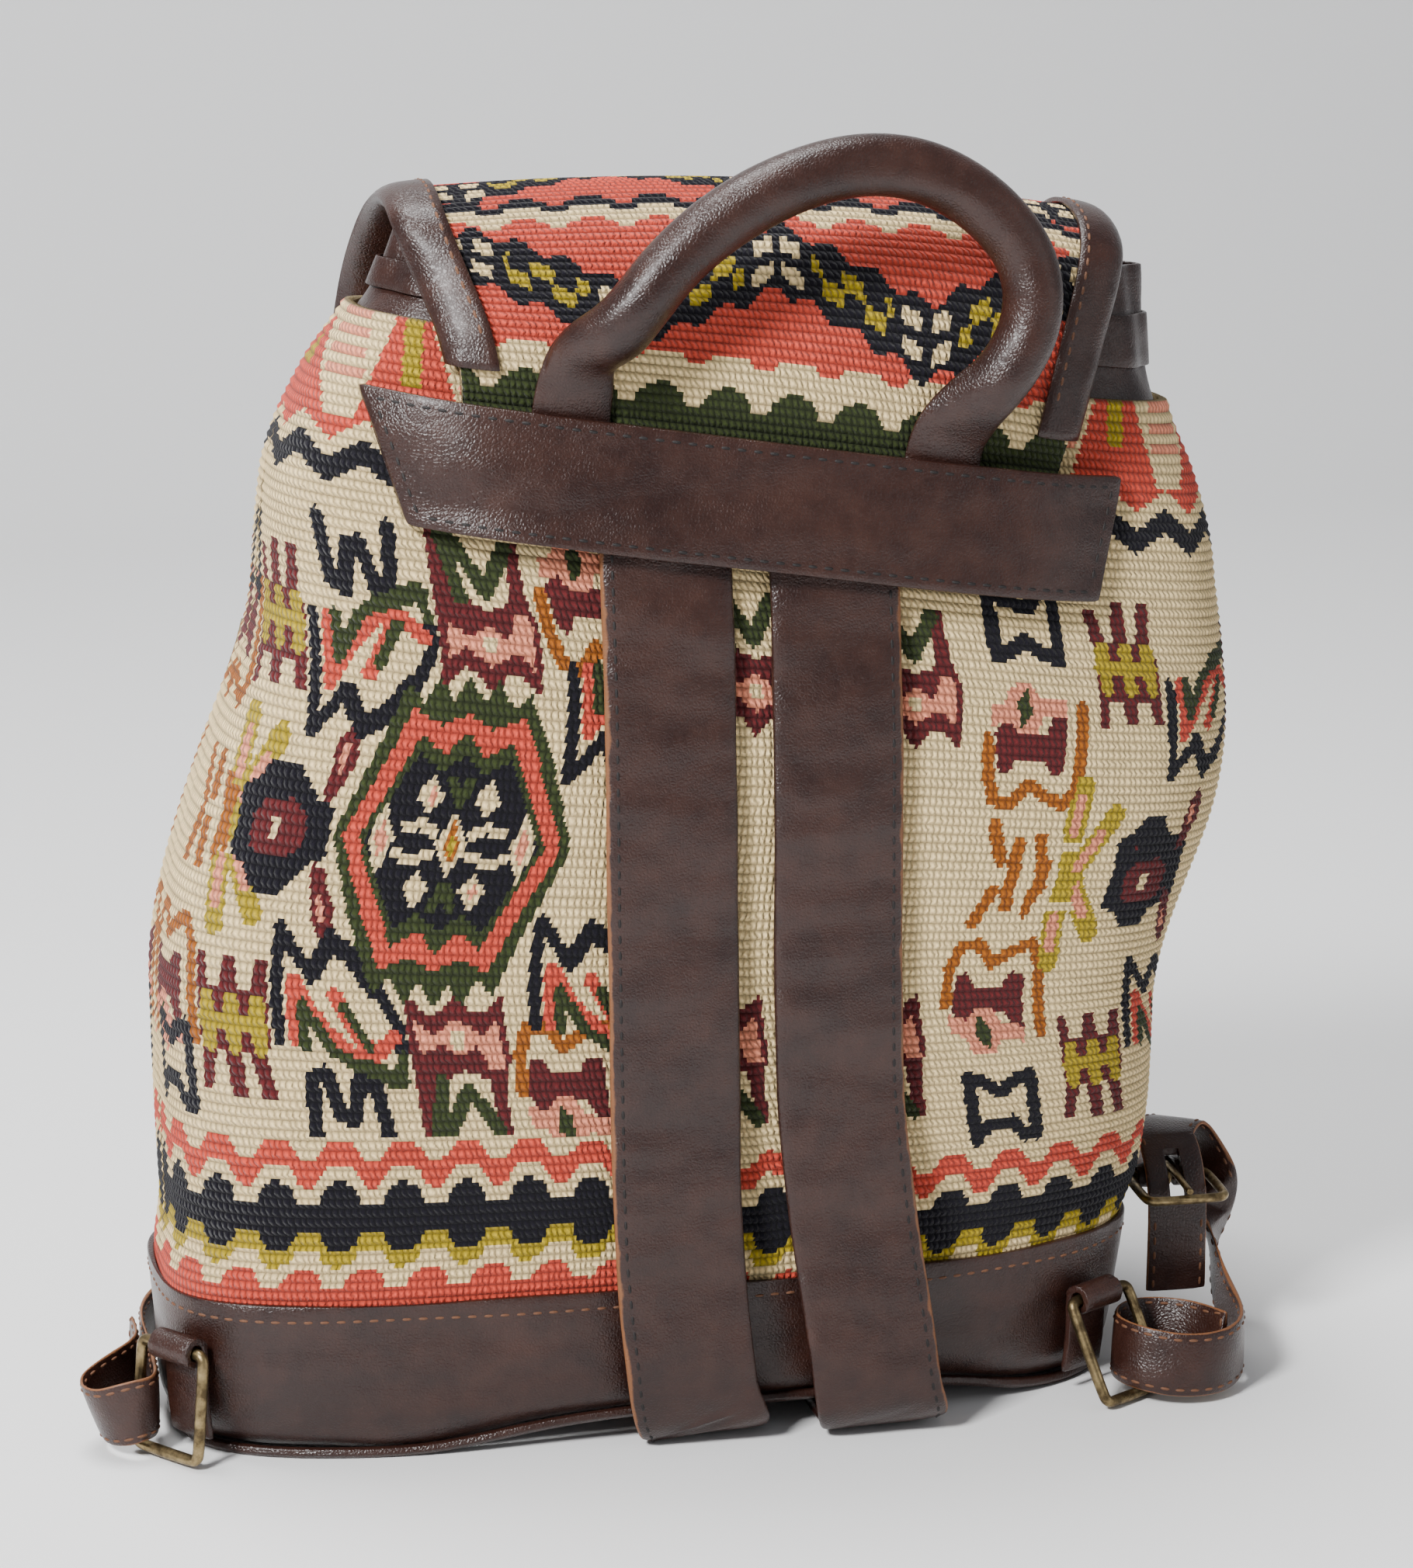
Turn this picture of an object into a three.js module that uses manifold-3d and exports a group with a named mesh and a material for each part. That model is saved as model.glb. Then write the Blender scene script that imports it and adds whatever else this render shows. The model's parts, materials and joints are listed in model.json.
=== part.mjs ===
// Woven backpack, standing on its base and seen from its strap side.
// Millimetres, +Z up, the strap side faces -Y and +X is to the right of that side.
// The cloth body leans to the right and its right side has slumped, as a soft bag stands.
import * as THREE from 'three';
import { mergeVertices } from 'three/addons/utils/BufferGeometryUtils.js';
import Module from 'manifold-3d';

const wasm = await Module();
wasm.setup();

// Overall size of the bag body
const BODY_HALF_WIDTH = 165;
const BODY_HALF_DEPTH = 65;
const KILIM_TOP = 345;
const BASE_HEIGHT = 53;
const COLLAR_RISE = 33;

// Wall thicknesses and the gap between pieces that touch
const FIT = 0.35;
const KILIM_WALL = 3.2;
const LINING_WALL = 1.2;
const LEATHER_WALL = 2;
const COLUMNS = 28;

// Coarse ribs that stand for the rows of the weave
const RIB_PITCH = 29;
const RIB_DEPTH = 0.8;

// Lean and slump of the soft body
const SWAY = 30;
const SWAY_START = 135;
const SWAY_END = 255;
const TOP_LEAN = 0.1;
const TOP_LEAN_START = 290;
const FOOT_SHIFT = -5;
const FOOT_SHIFT_END = 75;
const SLUMP = 0.15;
const SLUMP_START = 40;
const SLUMP_FULL = 300;
const SLUMP_RELIEF = 0.1;
const RELIEF_START = 335;
const RELIEF_END = 395;

// Leather base
const BASE_ROUNDING = 15;
const SEAM_LAP = 8;
const PIPING_RADIUS = 1.8;
const PIPING_ANGLE = 40;

// Padded shoulder straps
const STRAP_WIDTH = 42;
const STRAP_THICKNESS = 5.6;
const STRAP_END_WIDTH = 22;
const STRAP_END_THICKNESS = 2.6;
const STRAP_CENTRES = [-10, 43.5];

// Yoke strip, handle and flap share one centre line on the back
const YOKE_CENTRE = -12.5;
const YOKE_LENGTH = 243;
const YOKE_HEIGHT = 39;
const YOKE_TOP = 323;
const YOKE_THICKNESS = 3;
const YOKE_TUCK = 10;
const YOKE_SLACK = 1.8;
const YOKE_LEFT_SLANT = 15;
const YOKE_RIGHT_SLANT = 7;
const HANDLE_SPAN = 118;
const HANDLE_RADIUS = 9.7;
const HANDLE_FOOT_WIDTH = 25;
const HANDLE_FOOT_THICKNESS = 3;
const HANDLE_SEAM = 1.2;
const FLAP_THICKNESS = 2.6;
const FLAP_BACK_HALF = 95;
const FLAP_TOP_HALF = 115;
const FLAP_CROWN = 8;
const BINDING_WIDTH = 16;
const BINDING_WALL = 1.9;
const BINDING_LIP = 4;
const BINDING_GAP = 0.8;

// Collar round the mouth
const COLLAR_TUCK = 8;
const COLLAR_INSET = KILIM_WALL + 1.3;
const COLLAR_GATHERS = 14;
const GATHER_DEPTH = 2.2;
const CHANNEL_LOW = 8;
const CHANNEL_HIGH = 21;
const CHANNEL_WALL = 1.4;
const CHANNEL_GAP = 0.6;

// Rings and the tabs that hold them
const RING_WIDTH = 28.5;
const RING_HEIGHT = 35;
const RING_WIRE = 2.1;
const RING_CORNER = 3;
const TAB_ROLL = 5;
const TAB_BORE = RING_WIRE + 0.5;
const TAB_LENGTH = RING_WIDTH - 2 * RING_WIRE - 6.8;
const TAB_SHIFT = 2.25;
const TAB_FOOT = 7;

// Narrow lower straps and their wire buckles
const LOWER_WIDTH = 21;
const LOWER_THICKNESS = 2.4;
const BUCKLE_HALF_WIDTH = 14;
const BUCKLE_LENGTH = 24;
const BUCKLE_WIRE = 1.8;
const PRONG_WIRE = 1.3;
const PRONG_SLOT = 5.2;
const PRONG_LENGTH = BUCKLE_LENGTH + 2;

// Front pocket
const POCKET_HALF_WIDTH = 146;
const POCKET_LOW = 108;
const POCKET_HIGH = 226;
const POCKET_DEPTH = 40;
const POCKET_CORNER = 24;
const POCKET_BULGE = 5;
const POCKET_FLAP_DROP = 48;

// Half width and half depth of the body as shares of the largest, and its corner roundness
const PROFILE = [
  [0.0, 0.965, 0.9, 3.3],
  [0.15, 0.985, 0.93, 3.4],
  [0.35, 1.0, 1.0, 3.3],
  [0.58, 1.005, 1.02, 3.1],
  [0.72, 0.97, 0.97, 3.0],
  [0.8, 0.955, 0.92, 2.9],
  [0.875, 0.93, 0.86, 2.8],
  [0.94, 0.88, 0.78, 2.7],
  [1.0, 0.815, 0.7, 2.6],
  [1.1, 0.775, 0.46, 2.5],
];

const COLOURS = {
  kilim: { color: 0xe3cfae, roughness: 0.95, metalness: 0 },
  leather: { color: 0x3d261b, roughness: 0.5, metalness: 0 },
  lining: { color: 0x2b2320, roughness: 0.9, metalness: 0 },
  brass: { color: 0x8c7a4e, roughness: 0.35, metalness: 1 },
};

const parts = new THREE.Group();
const UP = new THREE.Vector3(0, 0, 1);

function clamp01(t) {
  return Math.min(1, Math.max(0, t));
}

function smooth(t) {
  const c = clamp01(t);
  return c * c * (3 - 2 * c);
}

function ramp(value, from, to) {
  return smooth((value - from) / (to - from));
}

function vec(x, y, z) {
  return new THREE.Vector3(x, y, z);
}

// Smooth value of one column of the profile at a height
function profileAt(z, column) {
  const t = z / KILIM_TOP;
  let k = 0;
  while (k < PROFILE.length - 2 && t > PROFILE[k + 1][0]) {
    k += 1;
  }
  const row = (i) => PROFILE[Math.min(PROFILE.length - 1, Math.max(0, i))];
  const slope = (i) => {
    const span = row(i + 1)[0] - row(i - 1)[0];
    return (row(i + 1)[column] - row(i - 1)[column]) / span;
  };
  const h = row(k + 1)[0] - row(k)[0];
  const s = clamp01((t - row(k)[0]) / h);
  const s2 = s * s;
  const s3 = s2 * s;
  const value = (2 * s3 - 3 * s2 + 1) * row(k)[column] + (3 * s2 - 2 * s3) * row(k + 1)[column];
  return value + h * ((s3 - 2 * s2 + s) * slope(k) + (s3 - s2) * slope(k + 1));
}

function halfWidth(z) {
  return BODY_HALF_WIDTH * profileAt(z, 1);
}

function halfDepth(z) {
  return BODY_HALF_DEPTH * profileAt(z, 2);
}

// The right side of the base is rounder than the left
function roundness(z, x) {
  const n = profileAt(z, 3);
  return x > 0 ? n - 0.7 * (1 - ramp(z, BASE_HEIGHT, 2 * BASE_HEIGHT)) : n + 0.2;
}

// Point on the body outline at an angle and height, moved out by a distance
function outline(angle, z, out) {
  const c = Math.cos(angle);
  const s = Math.sin(angle);
  const n = roundness(z, c);
  const x = (halfWidth(z) + out) * Math.sign(c) * Math.abs(c) ** (2 / n);
  const y = (halfDepth(z) + out) * Math.sign(s) * Math.abs(s) ** (2 / n);
  return vec(x, y, z);
}

// Distance of the back or front face from the middle plane at a place on it
function faceDepth(x, z) {
  const share = Math.min(0.999, Math.abs(x) / halfWidth(z));
  const n = roundness(z, x);
  return halfDepth(z) * (1 - share ** n) ** (1 / n);
}

function swayAt(z) {
  const lean = TOP_LEAN * Math.max(0, z - TOP_LEAN_START);
  const foot = FOOT_SHIFT * (1 - ramp(z, BASE_HEIGHT - 8, FOOT_SHIFT_END));
  return SWAY * ramp(z, SWAY_START, SWAY_END) + lean + foot;
}

function slumpAt(z) {
  return SLUMP * ramp(z, SLUMP_START, SLUMP_FULL) - SLUMP_RELIEF * ramp(z, RELIEF_START, RELIEF_END);
}

// Takes a point of the upright bag to where the leaning, slumped bag has it
function settle(p) {
  return vec(p.x + swayAt(p.z), p.y, p.z - p.x * slumpAt(p.z));
}

// Takes a place on the standing bag back to the upright bag
function unsettle(x, z) {
  let flatX = x - swayAt(z);
  let flatZ = z;
  for (let i = 0; i < 4; i += 1) {
    flatX = x - swayAt(flatZ);
    flatZ = z + flatX * slumpAt(flatZ);
  }
  return [flatX, flatZ];
}

// Angles round the body, closer together at the corners
function ringAngles(count) {
  const steps = 720;
  const mid = KILIM_TOP / 2;
  const lengths = [0];
  for (let i = 1; i <= steps; i += 1) {
    const a = outline(((i - 1) / steps) * 2 * Math.PI, mid, 0);
    const b = outline((i / steps) * 2 * Math.PI, mid, 0);
    lengths.push(lengths[i - 1] + a.distanceTo(b));
  }
  const total = lengths[steps];
  const angles = [];
  let i = 0;
  for (let k = 0; k < count; k += 1) {
    const want = k / count;
    while (0.5 * (lengths[i + 1] / total) + 0.5 * ((i + 1) / steps) < want) {
      i += 1;
    }
    const low = 0.5 * (lengths[i] / total) + 0.5 * (i / steps);
    const high = 0.5 * (lengths[i + 1] / total) + 0.5 * ((i + 1) / steps);
    angles.push(((i + (want - low) / (high - low)) / steps) * 2 * Math.PI);
  }
  return angles;
}

const ANGLES = ringAngles(COLUMNS);

// Closed mesh from rings of equal length: joined round into a loop, or capped at both ends.
// A long thin ring is capped by a strip across it, any other by a fan from its middle.
function ringSolid(rings, looped = false, stripCaps = false) {
  const sides = rings[0].length;
  const positions = [];
  const faces = [];
  rings.forEach((ring) => ring.forEach((p) => positions.push(p.x, p.y, p.z)));
  const last = looped ? rings.length : rings.length - 1;
  for (let i = 0; i < last; i += 1) {
    const a = i * sides;
    const b = ((i + 1) % rings.length) * sides;
    for (let j = 0; j < sides; j += 1) {
      const k = (j + 1) % sides;
      faces.push(a + j, a + k, b + k, a + j, b + k, b + j);
    }
  }
  if (!looped && stripCaps) {
    [0, rings.length - 1].forEach((i) => {
      for (let j = 0; j < sides / 2 - 1; j += 1) {
        const [a, b, c, d] = [j, j + 1, sides - 2 - j, sides - 1 - j].map((k) => i * sides + k);
        faces.push(...(i === 0 ? [a, c, b, a, d, c] : [a, b, c, a, c, d]));
      }
    });
  }
  if (!looped && !stripCaps) {
    [0, rings.length - 1].forEach((i) => {
      const middle = vec(0, 0, 0);
      rings[i].forEach((p) => middle.add(p));
      middle.divideScalar(sides);
      const centre = positions.length / 3;
      positions.push(middle.x, middle.y, middle.z);
      for (let j = 0; j < sides; j += 1) {
        const k = (j + 1) % sides;
        const a = i * sides + j;
        const b = i * sides + k;
        faces.push(...(i === 0 ? [centre, b, a] : [centre, a, b]));
      }
    });
  }
  return facingOut(positions, faces);
}

// Geometry with its faces turned so that the solid has a positive volume
function facingOut(positions, faces) {
  let volume = 0;
  const at = (i) => vec(positions[3 * i], positions[3 * i + 1], positions[3 * i + 2]);
  for (let i = 0; i < faces.length; i += 3) {
    volume += at(faces[i]).dot(at(faces[i + 1]).cross(at(faces[i + 2])));
  }
  const index = [];
  for (let i = 0; i < faces.length; i += 3) {
    const [a, b, c] = [faces[i], faces[i + 1], faces[i + 2]];
    index.push(...(volume > 0 ? [a, b, c] : [a, c, b]));
  }
  const geometry = new THREE.BufferGeometry();
  geometry.setAttribute('position', new THREE.Float32BufferAttribute(positions, 3));
  geometry.setIndex(index);
  return geometry;
}

function toManifold(geometry) {
  const bare = geometry.clone();
  bare.deleteAttribute('normal');
  bare.deleteAttribute('uv');
  const merged = mergeVertices(bare, 1e-3);
  const vertProperties = new Float32Array(merged.attributes.position.array);
  const triVerts = new Uint32Array(merged.index.array);
  return new wasm.Manifold(new wasm.Mesh({ numProp: 3, vertProperties, triVerts }));
}

function fromManifold(solid) {
  const mesh = solid.getMesh();
  const geometry = new THREE.BufferGeometry();
  geometry.setAttribute('position', new THREE.Float32BufferAttribute(mesh.vertProperties, 3));
  geometry.setIndex(Array.from(mesh.triVerts));
  return geometry;
}

function joined(first, second) {
  return fromManifold(toManifold(first).add(toManifold(second)));
}

function cut(body, tool) {
  return fromManifold(toManifold(body).subtract(toManifold(tool)));
}

function place(name, geometry, finish) {
  const mesh = new THREE.Mesh(geometry, new THREE.MeshStandardMaterial(COLOURS[finish]));
  mesh.name = name;
  parts.add(mesh);
  return mesh;
}

// Smooth curve through points chosen by hand, as evenly spaced points
function curvePoints(points, step) {
  const curve = new THREE.CatmullRomCurve3(points, false, 'centripetal');
  const count = Math.max(2, Math.ceil(curve.getLength() / step));
  return curve.getSpacedPoints(count);
}

function tangents(points, closed = false) {
  return points.map((p, i) => {
    const n = points.length;
    const before = closed ? points[(i + n - 1) % n] : points[Math.max(0, i - 1)];
    const after = closed ? points[(i + 1) % n] : points[Math.min(n - 1, i + 1)];
    return after.clone().sub(before).normalize();
  });
}

// Strap section: a flat rectangle with its edges rounded off
function strapSection(width, thickness) {
  const w = width / 2;
  const t = thickness / 2;
  const r = Math.min(t * 0.8, w * 0.5);
  return [
    [-w, -t + r], [-w + r, -t], [w - r, -t], [w, -t + r],
    [w, t - r], [w - r, t], [-w + r, t], [-w, t - r],
  ];
}

// Band swept along points: width runs along the given direction, thickness across it
function band(points, widthDirections, sectionAt) {
  const along = tangents(points);
  const rings = points.map((p, i) => {
    const t = along[i];
    const w = widthDirections[i].clone();
    w.addScaledVector(t, -w.dot(t)).normalize();
    const n = t.clone().cross(w);
    return sectionAt(i / (points.length - 1)).map(([a, b]) => (
      p.clone().addScaledVector(w, a).addScaledVector(n, b)
    ));
  });
  return ringSolid(rings);
}

// Round wire swept along points, open or closed
function wire(points, radius, sides, closed) {
  const along = tangents(points, closed);
  const reference = vec(0.13, 0.21, 0.97).normalize();
  let side = along[0].clone().cross(reference).normalize();
  const rings = points.map((p, i) => {
    const t = along[i];
    side = side.clone().addScaledVector(t, -side.dot(t)).normalize();
    const other = t.clone().cross(side);
    const ring = [];
    for (let k = 0; k < sides; k += 1) {
      const a = (k / sides) * 2 * Math.PI;
      const q = p.clone().addScaledVector(side, radius * Math.cos(a));
      ring.push(q.addScaledVector(other, radius * Math.sin(a)));
    }
    return ring;
  });
  return ringSolid(rings, closed);
}

// Rectangle with rounded corners as a closed path in the plane of two directions
function roundedFrame(centre, u, v, width, height, corner, arcSteps) {
  const points = [];
  [[1, 1], [-1, 1], [-1, -1], [1, -1]].forEach(([su, sv], quarter) => {
    const cu = su * (width / 2 - corner);
    const cv = sv * (height / 2 - corner);
    for (let k = 0; k <= arcSteps; k += 1) {
      const a = ((quarter + k / arcSteps) * Math.PI) / 2;
      const pu = cu + corner * Math.cos(a);
      const pv = cv + corner * Math.sin(a);
      points.push(centre.clone().addScaledVector(u, pu).addScaledVector(v, pv));
    }
  });
  return points;
}

// Heights of the inner surfaces, as shares of the kilim's top edge
const LINING_TOP = (KILIM_TOP - COLLAR_TUCK - 2) / KILIM_TOP;
const INNER_LEVELS = [1, LINING_TOP, 0.94, 0.875, 0.8, 0.72, 0.65, 0.58, 0.5, 0.42, 0.35];

function bodyRing(z, out) {
  return ANGLES.map((angle) => settle(outline(angle, z, out)));
}

// Woven body: a tube of kilim, ribbed outside, lapped inside the base at its foot
function kilimBody() {
  const low = BASE_HEIGHT - SEAM_LAP;
  const ribs = Math.round((KILIM_TOP - BASE_HEIGHT) / RIB_PITCH);
  const pitch = (KILIM_TOP - BASE_HEIGHT) / ribs;
  const rings = [bodyRing(low, -RIB_DEPTH), bodyRing(BASE_HEIGHT, -RIB_DEPTH)];
  for (let k = 0; k < ribs; k += 1) {
    rings.push(bodyRing(BASE_HEIGHT + (k + 0.5) * pitch, 0));
    rings.push(bodyRing(BASE_HEIGHT + (k + 1) * pitch, -RIB_DEPTH));
  }
  INNER_LEVELS.forEach((share) => rings.push(bodyRing(KILIM_TOP * share, -KILIM_WALL)));
  rings.push(bodyRing(low, -KILIM_WALL));
  return ringSolid(rings, true);
}

// The middle of the base is raised where the straps pass under it
const LIFT_SPARE = 2.3;
const LIFT = STRAP_THICKNESS + 4 * FIT + LIFT_SPARE;
const LIFT_RAMP = 28;
const LIFT_MARGIN = 10;
const STRAP_DRIFT = 17;

function liftAt(x) {
  const left = STRAP_CENTRES[0] - STRAP_WIDTH / 2 - LIFT_MARGIN;
  const right = STRAP_CENTRES[1] + STRAP_WIDTH / 2 + STRAP_DRIFT + LIFT_MARGIN;
  return LIFT * ramp(x, left - LIFT_RAMP, left) * (1 - ramp(x, right, right + LIFT_RAMP));
}

function baseRing(z, out) {
  return ANGLES.map((angle) => {
    const p = settle(outline(angle, z, out));
    p.z = z + liftAt(p.x) * (1 - z / BASE_HEIGHT);
    return p;
  });
}

// Bottom of the base as rings that shrink to its middle
const FLOOR_SHARES = [0.03, 0.35, 0.7, 1];

function floorRings(out, height, shares) {
  const edge = baseRing(0, out);
  return shares.map((share) => edge.map((p) => {
    const x = FOOT_SHIFT + (p.x - FOOT_SHIFT) * share;
    return vec(x, p.y * share, liftAt(x) + height);
  }));
}

// Leather base: a shallow tray with a rounded bottom edge
function baseShell() {
  const outer = FIT + LEATHER_WALL;
  const rings = floorRings(outer - BASE_ROUNDING, 0, FLOOR_SHARES);
  [30, 60].forEach((degrees) => {
    const a = (degrees * Math.PI) / 180;
    const inset = BASE_ROUNDING * (1 - Math.sin(a));
    rings.push(baseRing(BASE_ROUNDING * (1 - Math.cos(a)), outer - inset));
  });
  [BASE_ROUNDING, 32, BASE_HEIGHT].forEach((z) => rings.push(baseRing(z, outer)));
  [BASE_HEIGHT, 32, BASE_ROUNDING].forEach((z) => rings.push(baseRing(z, FIT)));
  const a = Math.PI / 4;
  const innerRounding = BASE_ROUNDING - LEATHER_WALL;
  const inset = innerRounding * (1 - Math.sin(a));
  rings.push(baseRing(BASE_ROUNDING - innerRounding * Math.cos(a), FIT - inset));
  rings.push(...floorRings(FIT - innerRounding, LEATHER_WALL, [...FLOOR_SHARES].reverse()));
  return ringSolid(rings);
}

// Piping cord round the bottom edge of the base
function basePiping() {
  const a = (PIPING_ANGLE * Math.PI) / 180;
  const reach = BASE_ROUNDING + PIPING_RADIUS + FIT;
  const out = FIT + LEATHER_WALL - (BASE_ROUNDING - reach * Math.sin(a));
  const path = baseRing(BASE_ROUNDING - reach * Math.cos(a), out);
  return wire(path, PIPING_RADIUS, 6, true);
}

// Cloth lining: a deep cup just inside the kilim, down to the base
function bodyLining() {
  const out = -KILIM_WALL - FIT;
  const heights = [...INNER_LEVELS].reverse().slice(0, -1).map((share) => share * KILIM_TOP);
  const seam = BASE_HEIGHT - SEAM_LAP;
  const levels = [BASE_ROUNDING + 2, seam, ...heights];
  const floorInset = FIT - BASE_ROUNDING + LEATHER_WALL;
  const floorAt = LEATHER_WALL + FIT;
  const rings = floorRings(floorInset, floorAt + LINING_WALL, FLOOR_SHARES);
  const wallRing = (z, inset) => (z < seam ? baseRing(z, inset) : bodyRing(z, inset));
  levels.forEach((z) => rings.push(wallRing(z, out - LINING_WALL)));
  [...levels].reverse().forEach((z) => rings.push(wallRing(z, out)));
  rings.push(...floorRings(floorInset, floorAt, [...FLOOR_SHARES].reverse()));
  return ringSolid(rings);
}

// Angles for the collar, two for each of the body's
const COLLAR_ANGLES = ANGLES.flatMap((angle, i) => {
  const next = i + 1 < ANGLES.length ? ANGLES[i + 1] : ANGLES[0] + 2 * Math.PI;
  return [angle, (angle + next) / 2];
});

function collarRing(rise, out) {
  const z = KILIM_TOP + rise;
  const depth = GATHER_DEPTH * ramp(rise, 0, CHANNEL_LOW);
  return COLLAR_ANGLES.map((angle, i) => {
    const phase = (i / COLLAR_ANGLES.length) * COLLAR_GATHERS * 2 * Math.PI;
    return settle(outline(angle, z, out - COLLAR_INSET + depth * (Math.cos(phase) - 1)));
  });
}

// Gathered leather collar, its foot sewn inside the top of the kilim
function collar() {
  const rises = [-COLLAR_TUCK, 0, CHANNEL_LOW, CHANNEL_HIGH, COLLAR_RISE];
  const rings = rises.map((rise) => collarRing(rise, 0));
  [...rises].reverse().forEach((rise) => rings.push(collarRing(rise, -LEATHER_WALL)));
  return ringSolid(rings, true);
}

// Strip sewn round the collar to make the channel for its gathers
function collarChannel() {
  const rings = [
    collarRing(CHANNEL_LOW, CHANNEL_GAP),
    collarRing(CHANNEL_LOW, CHANNEL_GAP + CHANNEL_WALL),
    collarRing(CHANNEL_HIGH, CHANNEL_GAP + CHANNEL_WALL),
    collarRing(CHANNEL_HIGH, CHANNEL_GAP),
  ];
  return ringSolid(rings, true);
}

// Sheet that hangs along a path across the bag: points, outward normals, half widths and crown
function sheetFrames(path, halfWidthAt, crown, centreX, step, wrapEnd) {
  const points = curvePoints(path, step);
  const along = tangents(points);
  return points.map((p, i) => {
    const share = i / (points.length - 1);
    const normal = along[i].clone().cross(vec(-1, 0, 0)).normalize();
    return { p, normal, half: halfWidthAt(share), crown, centreX, share, wrapEnd };
  });
}

// Point on a hanging sheet: across from -1 to 1, lift outward from its middle surface
function sheetPoint(frame, across, lift, extra = 0) {
  const x = frame.centreX + across * frame.half + Math.sign(across) * extra;
  const reach = Math.min(1, Math.abs(x - frame.centreX) / frame.half);
  const droop = frame.crown * reach * reach * Math.sin(Math.PI * clamp01(frame.share * 1.6));
  const p = frame.p.clone();
  const z = Math.min(p.z, KILIM_TOP);
  const follow = 1 - ramp(frame.share, frame.wrapEnd / 2, frame.wrapEnd);
  p.x = x;
  p.y -= Math.sign(p.y) * follow * (faceDepth(frame.centreX, z) - faceDepth(x, z));
  p.z -= droop;
  return p.addScaledVector(frame.normal, lift);
}

// Closed slab between two lifts of a hanging sheet, ribbed on its outer face
function sheetSlab(frames, low, high, ribbed, lining = false) {
  const rings = frames.map((frame, i) => {
    const top = high - (ribbed && i % 2 === 0 ? RIB_DEPTH : 0);
    const edge = 1 - (BINDING_WIDTH - BINDING_LIP) / frame.half;
    const columns = [-1, -edge, -0.75, -0.45, 0, 0.45, 0.75, edge, 1];
    const under = columns.map((across) => sheetPoint(frame, across, low));
    const over = columns.map((across) => sheetPoint(frame, across, top));
    const ring = lining ? [...over, ...under.reverse()] : [...under, ...over.reverse()];
    return ring.map(settle);
  });
  return ringSolid(rings, false, true);
}

// U section of the binding: distance outward from the sheet's edge, and lift
function bindingSection(low, high) {
  const inside = BINDING_WIDTH - BINDING_LIP;
  return [
    [-inside, high + BINDING_GAP], [0, high + BINDING_GAP], [BINDING_GAP + 0.6, 0.5 * (high + low)],
    [0, low - BINDING_GAP], [-inside, low - BINDING_GAP], [-inside, low - BINDING_GAP - BINDING_WALL],
    [0.5, low - BINDING_GAP - BINDING_WALL], [BINDING_LIP, 0.5 * (high + low)],
    [0.5, high + BINDING_GAP + BINDING_WALL], [-inside, high + BINDING_GAP + BINDING_WALL],
  ];
}

// Direction in which a sheet runs at its free end
function endDirection(frames) {
  const [before, end] = frames.slice(-2);
  return end.p.clone().sub(before.p).normalize();
}

// Binding folded over the free end of a sheet only
function hemBinding(frames, low, high) {
  const end = frames[frames.length - 1];
  const forward = endDirection(frames);
  const rings = [-1, -0.5, 0, 0.5, 1].map((across) => bindingSection(low, high).map(([out, lift]) => (
    sheetPoint(end, across, lift).addScaledVector(forward, out + FIT)
  )));
  return ringSolid(rings.map((ring) => ring.map(settle)));
}

// Leather binding folded over the free edges of a sheet: a U section swept round it
function bindingStrip(frames, low, high, skip) {
  const used = frames.slice(skip);
  const end = used[used.length - 1];
  const forward = endDirection(used);
  const section = bindingSection(low, high);
  const stations = [];
  used.forEach((frame) => stations.push({ frame, side: -1, turn: 0 }));
  [0.25, 0.5, 0.75].forEach((turn) => stations.push({ frame: end, side: -1, turn }));
  [-0.5, 0, 0.5].forEach((across) => stations.push({ frame: end, side: across, turn: 1 }));
  [0.75, 0.5, 0.25].forEach((turn) => stations.push({ frame: end, side: 1, turn }));
  [...used].reverse().forEach((frame) => stations.push({ frame, side: 1, turn: 0 }));
  const rings = stations.map(({ frame, side, turn }) => section.map(([out, lift]) => {
    if (turn === 1) {
      return sheetPoint(frame, side, lift).addScaledVector(forward, out + FIT);
    }
    const angle = (turn * Math.PI) / 2;
    const p = sheetPoint(frame, side, lift, (out + FIT) * Math.cos(angle));
    return p.addScaledVector(forward, (out + FIT) * Math.sin(angle));
  }));
  return ringSolid(rings.map((ring) => ring.map(settle)));
}

// Main flap, from under the yoke, over the mouth and down the front
const FLAP_BED = FIT + FLAP_THICKNESS / 2;

function flapPath() {
  const tuck = YOKE_TOP - YOKE_TUCK;
  const mouth = KILIM_TOP + COLLAR_RISE;
  return [
    vec(0, -halfDepth(tuck) - FLAP_BED, tuck),
    vec(0, -halfDepth(YOKE_TOP) - FLAP_BED - 0.4, YOKE_TOP),
    vec(0, -halfDepth(YOKE_TOP) - FLAP_BED - 2.5, YOKE_TOP + 17),
    vec(0, -0.74 * BODY_HALF_DEPTH, mouth - 18),
    vec(0, -0.55 * BODY_HALF_DEPTH, mouth + 4),
    vec(0, -0.28 * BODY_HALF_DEPTH, mouth + 16),
    vec(0, 0, mouth + 20),
    vec(0, 0.28 * BODY_HALF_DEPTH, mouth + 17),
    vec(0, 0.55 * BODY_HALF_DEPTH, mouth + 6),
    vec(0, 0.8 * BODY_HALF_DEPTH, mouth - 16),
    vec(0, 0.98 * BODY_HALF_DEPTH, KILIM_TOP - 8),
    vec(0, 1.1 * BODY_HALF_DEPTH, 0.88 * KILIM_TOP),
    vec(0, 1.17 * BODY_HALF_DEPTH, 0.8 * KILIM_TOP),
    vec(0, 1.19 * BODY_HALF_DEPTH, 0.735 * KILIM_TOP),
  ];
}

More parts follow.
